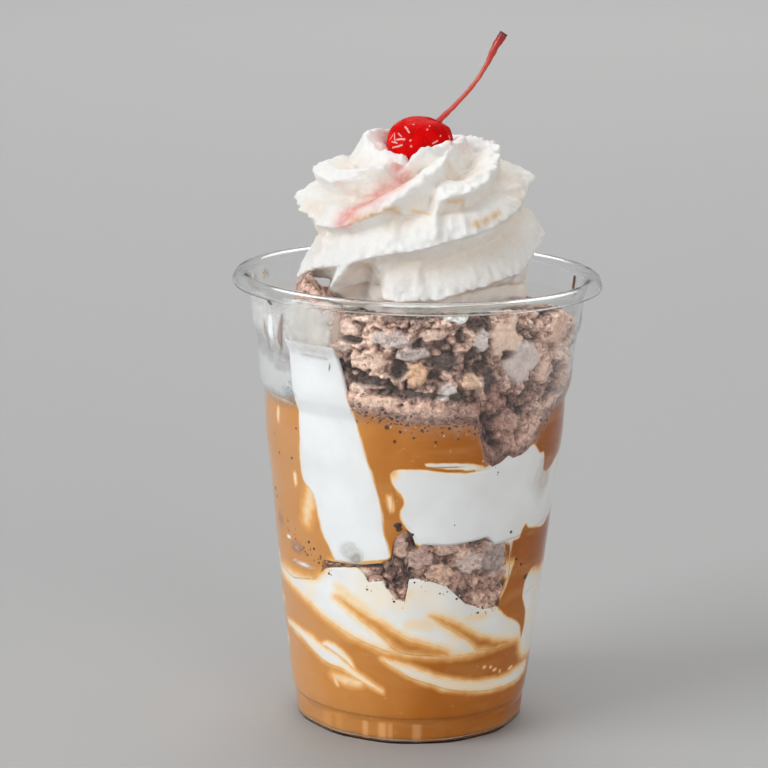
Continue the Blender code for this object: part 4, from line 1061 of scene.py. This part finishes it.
def smears_and_painted_light():
    """Thin smears that cling to the inside of the wall, with a painted reflection and a painted shade
    line among them, as flat closed shells.
    """
    points, faces, tints, covers = [], [], [], []
    count = 15
    whole = count * count
    u, v = np.meshgrid(np.linspace(-1, 1, count), np.linspace(-1, 1, count), indexing="ij")
    flat_faces = np.array(grid_faces(count, count, False, False))
    ids = np.arange(whole).reshape(count, count)
    rim = np.concatenate([ids[:-1, 0], ids[-1, :-1], ids[:0:-1, -1], ids[0, :0:-1]])
    ahead = np.roll(rim, -1)
    shell = np.vstack([flat_faces, flat_faces[:, ::-1] + whole,
                       np.stack([rim, rim + whole, ahead + whole, ahead], -1)])
    for index, row in enumerate(SMEARS_AND_PAINTED_LIGHT):
        angle, height, wide, tall, square, lean, colour, most, fade = row
        heights = np.minimum(height + tall * v, 119.0)
        angles = angle + wide * u + lean * tall * v
        reach = (np.abs(u) ** square + np.abs(v) ** square) ** (1 / square)
        lift = 0.02 if wide > 20 else 0.075
        front = polar(angles, inner_radius(heights) + SOAK + lift, heights).reshape(-1, 3)
        back = polar(angles, inner_radius(heights) - 0.12, heights).reshape(-1, 3)
        ragged = 0.25 * noise_at(front, 2.5, 20 + index, 2).reshape(u.shape)
        steep = 1.2 if square == 2 else 3.0
        cover = most * np.clip((1 - reach + ragged * (reach < 0.95)) * steep, 0, 1)
        cover = cover * (1 - fade * (v + 1) / 2) * np.clip(1.2 * (v + 1), 0, 1)
        faces += (shell + 2 * whole * index).tolist()
        points += [front, back]
        tints.append(np.tile(colour, (2 * whole, 1)))
        covers.append(np.tile(cover.ravel(), 2)[:, None])
    piece("smears_and_painted_light", np.vstack(points), faces, "smears_and_painted_light",
          values={"tint": np.vstack(tints), "cover": np.vstack(covers)})


def crumb_spots():
    """Places of crumbs: angle, height, radius and tone, the listed ones and scattered ones."""
    spots = [(a, z, r, 0) for a, z, r in CRUMBS]
    grains = np.arange(sum(row[0] for row in SCATTERED))
    cells = np.stack([grains, grains * 7, grains * 13], -1)
    draws = zip(*(hashed(cells, 5 + n) for n in range(4)))
    for count, first, spread, border, above, down, thin in SCATTERED:
        for along, high, size, tone in itertools.islice(draws, count):
            angle = first + spread * along
            height = around(border, angle) + above - down * high ** thin
            spots.append((angle, height, 0.16 + 0.4 * size ** 3, tone))
    return spots


def loose_crumbs():
    """Specks and small crumbs that lie against the wall."""
    sides = 8
    tilts = (-0.8, 0.0, 0.8)
    points, faces, tints = [], [], []
    for index, (angle, height, radius, tone) in enumerate(crumb_spots()):
        centre = polar(angle, inner_radius(height) - 0.3 * radius, height)
        out = polar(angle, 1.0, 0.0)
        side = np.array([-out[1], out[0], 0.0])
        start = len(points)
        for tilt in tilts:
            for n in range(sides):
                turn = math.tau * n / sides
                wobble = 0.75 + 0.5 * hashed(np.array([index, n, int(tilt * 10)]), 77)
                flat = radius * wobble * math.cos(tilt)
                spot = centre + side * flat * math.cos(turn) + out * radius * 0.55 * math.sin(tilt)
                points.append(spot + np.array([0, 0, flat * math.sin(turn)]))
        points += [centre - out * radius * 0.6, centre + out * radius * 0.6]
        inner_tip = start + len(tilts) * sides
        for n in range(sides):
            first, second, third = start + n, start + n + sides, start + n + 2 * sides
            step = (n + 1) % sides - n
            faces += [(first, first + step, second + step, second),
                      (second, second + step, third + step, third),
                      (first + step, first, inner_tip), (third, third + step, inner_tip + 1)]
        colour = np.array(CRUMB_DARK if tone < 0.5 else CRUMB_LIGHT)
        tints += [colour * (0.42 + 0.9 * tone)] * (len(points) - start)
    points = np.array(points)
    most = inner_radius(points[:, 2]) + SOAK + 0.1
    points[:, :2] *= np.minimum(1, most / np.hypot(points[:, 0], points[:, 1]))[:, None]
    piece("loose_crumbs", points, faces, "crumble", values={"tint": np.array(tints)})


def ridges_at(angle, top):
    """How far up the profile each ridge lies at an angle."""
    found = [-4.0, top + 6]
    for rows in (RIDGE_LONG, RIDGE_SHORT, RIDGE_BRANCH, RIDGE_FOLD):
        for turn in range(-1, 4):
            spot = angle + 360 * turn
            if rows[0][0] <= spot <= rows[-1][0]:
                found.append(float(table(rows, spot)))
    return np.array(sorted(found))


def groove(heights, ridges):
    """Depth of the groove at distances up the profile: steep under the upper ridge."""
    upper = np.searchsorted(ridges, heights).clip(1, len(ridges) - 1)
    low, width = ridges[upper - 1], np.diff(ridges)[upper - 1]
    share = (heights - low) / np.maximum(width, 0.05)
    floor = np.where(width < 14, 0.66, 0.5)
    below = np.clip(share / floor, 0, 1) ** 1.2
    above = np.clip((1 - share) / (1 - floor), 0, 1) ** 0.75
    rise = np.where(share < floor, below, above)
    return np.minimum(GROOVE_MOST, GROOVE_SHARE * width) * rise * (width > 0.05)


def blurred(values, reach, axis=0, wrap=False):
    """Values averaged with a bell over a number of steps each way."""
    steps = np.arange(-3 * reach, 3 * reach + 1)
    weights = np.exp(-(steps / reach) ** 2 / 2)
    size = values.shape[axis]
    total = np.zeros(values.shape)
    for step, weight in zip(steps, weights / weights.sum()):
        picks = np.arange(size) - step
        picks = picks % size if wrap else np.clip(picks, 0, size - 1)
        total += weight * np.take(values, picks, axis=axis)
    return total


def near_path(angles, rows, radii, path, reach):
    """Bell from 0 to 1 for points of the swirl near a path of (angle, distance up)."""
    x = np.radians(angles) * radii
    path = [(math.radians(a) * float(np.interp(s, rows, radii)), s) for a, s in path]
    near = [near_line(x, rows, start, end) for start, end in zip(path, path[1:] + path[-1:])]
    return np.exp(-((np.minimum.reduce(near) / reach) ** 2))


def piped_cream():
    """The piped cream: soft ridges with ragged crests."""
    steps = np.hypot(*np.diff(np.array(SWIRL_PROFILE, float), axis=0).T)
    lengths = np.concatenate([[0], np.cumsum(steps)])
    top = lengths[-1]
    rows = np.linspace(0, top - 0.8, SWIRL_ROWS)
    radii, levels = (np.interp(rows, lengths, side) for side in zip(*SWIRL_PROFILE))
    run, rise = blurred(np.gradient(radii), 4), blurred(np.gradient(levels), 4)
    out, up = rise / np.hypot(run, rise), -run / np.hypot(run, rise)
    angles = -90 + 360 * np.arange(SWIRL_COLUMNS) / SWIRL_COLUMNS
    column = angles[:, None]
    wrapped = (column + 180) % 360 - 180
    depth = np.array([groove(rows, ridges_at(angle, top)) for angle in angles])
    depth = blurred(blurred(depth, 2, wrap=True), 1, axis=1)
    # the lowest groove is shallow at the front right
    front = 1 / (1 + ((wrapped - 35) / 54) ** 8)
    depth = depth * (1 - 0.55 * front * np.clip(1 - rows / 8, 0, 1))
    skin = polar(column, radii, levels)
    crest = np.clip(1 - depth / 2.5, 0, 1)
    valley = np.clip((depth - 1.5) / 4, 0, 1)
    rough = 0.7 * noise_at(skin, 5.0, 1) + 0.45 * noise_at(skin, 2.0, 2)
    rough += crest * (0.9 * noise_at(skin, 2.6, 3) + 0.7 * noise_at(skin, 1.3, 4))

    def marks(rows_of_marks):
        return (most * near_path(wrapped, rows, radii, path, reach)
                for path, reach, most in rows_of_marks)

    depth = depth - rough - sum(marks(SHARP_CRESTS + TIPS))
    middle, spread, most = FRONT_NOTCH
    drop = FRONT_DROP / (1 + ((wrapped + 36) / 34) ** 6)
    drop = drop + most * np.exp(-((wrapped - middle) / spread) ** 2)
    heights = levels - depth * up - CREST_DROOP * crest * out
    heights = heights - drop * np.clip((rows - 44) / 12, 0, 1)
    grid = polar(column, radii - depth * out, heights) + np.array([*SWIRL_CENTRE, 0])
    # the valleys take the stain colour as painted shade; the listed stains are stains
    stain_and_valley_shade = np.maximum(0.3 * valley, 1.3 * np.maximum.reduce(list(marks(STAINS))))
    values = {"stain_and_valley_shade": stain_and_valley_shade, "syrup": np.maximum.reduce(list(marks(SYRUP)))}
    solid("whipped_cream_look", grid, "whipped_cream", ("whipped_cream",), values)


def cherry():
    """A syrupy cherry, a little flattened, with a dimple where its stem stands."""
    tilt = np.radians(np.linspace(3, 177, 180))
    angles = np.linspace(0, 360, 300, endpoint=False)[:, None]
    high = np.where(np.cos(tilt) < 0, 2.6, 2.0)
    full = (np.sin(tilt) ** high + np.abs(np.cos(tilt)) ** high) ** (-1 / high)
    sphere = polar(angles, CHERRY_RADIUS * full * np.sin(tilt),
                   -CHERRY_RADIUS * full * np.cos(tilt))
    grid = sphere + np.array(CHERRY_CENTRE)
    near = np.linalg.norm(grid - np.array(DIMPLE_AT), axis=-1) / DIMPLE_RADIUS
    pull = DIMPLE_DEPTH * np.clip(1 - near * near, 0, 1) + 0.22 * noise_at(grid, 5.0, 9)
    pull = pull + 0.12 * noise_at(grid, 1.6, 10)
    grid = grid - sphere / CHERRY_RADIUS * pull[..., None]
    way = sphere / np.linalg.norm(sphere, axis=-1)[..., None] * CHERRY_RADIUS
    way = way + 0.12 * noise_at(sphere, 1.2, 15)[..., None]
    shine = np.zeros(way.shape[:-1])
    for *ends, half in GLINTS:
        first, last = (polar(a, CHERRY_RADIUS * math.sin(math.radians(b)),
                             -CHERRY_RADIUS * math.cos(math.radians(b))) for a, b in ends)
        along = last - first
        share = np.clip((way - first) @ along / (along @ along), 0, 1)
        near = np.linalg.norm(way - first - share[..., None] * along, axis=-1)
        shine = np.maximum(shine, np.clip(1.3 - near / (0.62 * half), 0, 0.75))
    solid("cherry_look", grid, "cherry", ("cherry",), {"glint": shine})


def stem():
    """A thin curved stalk with a ragged knob at its end."""
    path = np.array(STEM_PATH, float)
    at = np.arange(len(path))
    along = np.linspace(0, len(path) - 1, 60)
    spots = np.stack([blurred(np.interp(along, at, side), 3) for side in path.T], -1)
    spots[-1] = path[-1]
    radii = blurred(np.interp(along, at, STEM_RADII), 2)
    ahead = np.gradient(spots, axis=0)
    ahead /= np.linalg.norm(ahead, axis=1)[:, None]
    side = np.cross(ahead, [0, 1, 0])
    front = np.cross(side, ahead)
    turns = np.linspace(0, math.tau, 24, endpoint=False)[:, None]
    ring = side[:, None] * np.cos(turns) + front[:, None] * np.sin(turns)
    grid = spots[:, None] + ring * radii[:, None, None]
    grid += 0.18 * ring * noise_at(grid, 1.2, 6)[..., None]
    solid("cherry_stem_look", grid, "cherry_stem", ("cherry_stem",), round_cup=False)


# ---------------------------------------------------------------- camera, light and floor
def placed(name, data):
    made = bpy.data.objects.new(name, data)
    bpy.context.scene.collection.objects.link(made)
    return made


def camera():
    yaw, pitch, roll = CAMERA_TURN
    ahead = Vector((math.sin(yaw) * math.cos(pitch), math.cos(yaw) * math.cos(pitch),
                    -math.sin(pitch)))
    level = Vector((math.cos(yaw), -math.sin(yaw), 0))
    rise = level.cross(ahead)
    right = level * math.cos(roll) + rise * math.sin(roll)
    up = rise * math.cos(roll) - level * math.sin(roll)
    lens = bpy.data.cameras.new("camera")
    lens.sensor_width = SENSOR
    lens.lens = FOCAL_PIXELS / PICTURE_PIXELS * SENSOR
    lens.clip_start = 0.01
    made = placed("camera", lens)
    turned = Matrix((right, up, -ahead)).transposed().to_4x4()
    made.matrix_world = Matrix.Translation(CAMERA_AT) @ turned
    bpy.context.scene.camera = made


def lamp(name, spot, size, power, colour, target):
    data = bpy.data.lights.new(name, "AREA")
    data.shape = "SQUARE"
    data.size = size
    data.energy = power
    data.color = colour
    made = placed(name, data)
    made.location = spot
    made.rotation_euler = (Vector(target) - made.location).to_track_quat("-Z", "Y").to_euler()


def studio():
    """A pale floor, a soft sky and four lamps."""
    mesh = bpy.data.meshes.new("floor")
    half = FLOOR_SIDE / 2
    mesh.from_pydata([(-half, -half, 0), (half, -half, 0), (half, half, 0), (-half, half, 0)], [],
                     [(0, 1, 2, 3)])
    floor = placed("floor", mesh)
    mesh.materials.append(Look("floor", Base_Color=(0.45, 0.45, 0.45), Roughness=0.7).made)
    world = bpy.data.worlds.new("world")
    bpy.context.scene.world = world
    world.use_nodes = True
    tree = world.node_tree
    sky = tree.nodes["Background"]
    sky.inputs["Color"].default_value = (1.0, 0.99, 0.97, 1)
    brighter = tree.nodes.new("ShaderNodeMath")
    brighter.operation = "MULTIPLY_ADD"
    brighter.inputs[1].default_value = SKY_THROUGH_CUP - SKY
    brighter.inputs[2].default_value = SKY
    path = tree.nodes.new("ShaderNodeLightPath")
    tree.links.new(path.outputs["Is Transmission Ray"], brighter.inputs[0])
    tree.links.new(brighter.outputs[0], sky.inputs["Strength"])
    for row in LAMPS:
        lamp(*row)
    bpy.context.scene.view_settings.view_transform = "Standard"


camera()
studio()
cup()
layers()
upper_crumble()
lower_crumble()
smears_and_painted_light()
loose_crumbs()
piped_cream()
cherry()
stem()
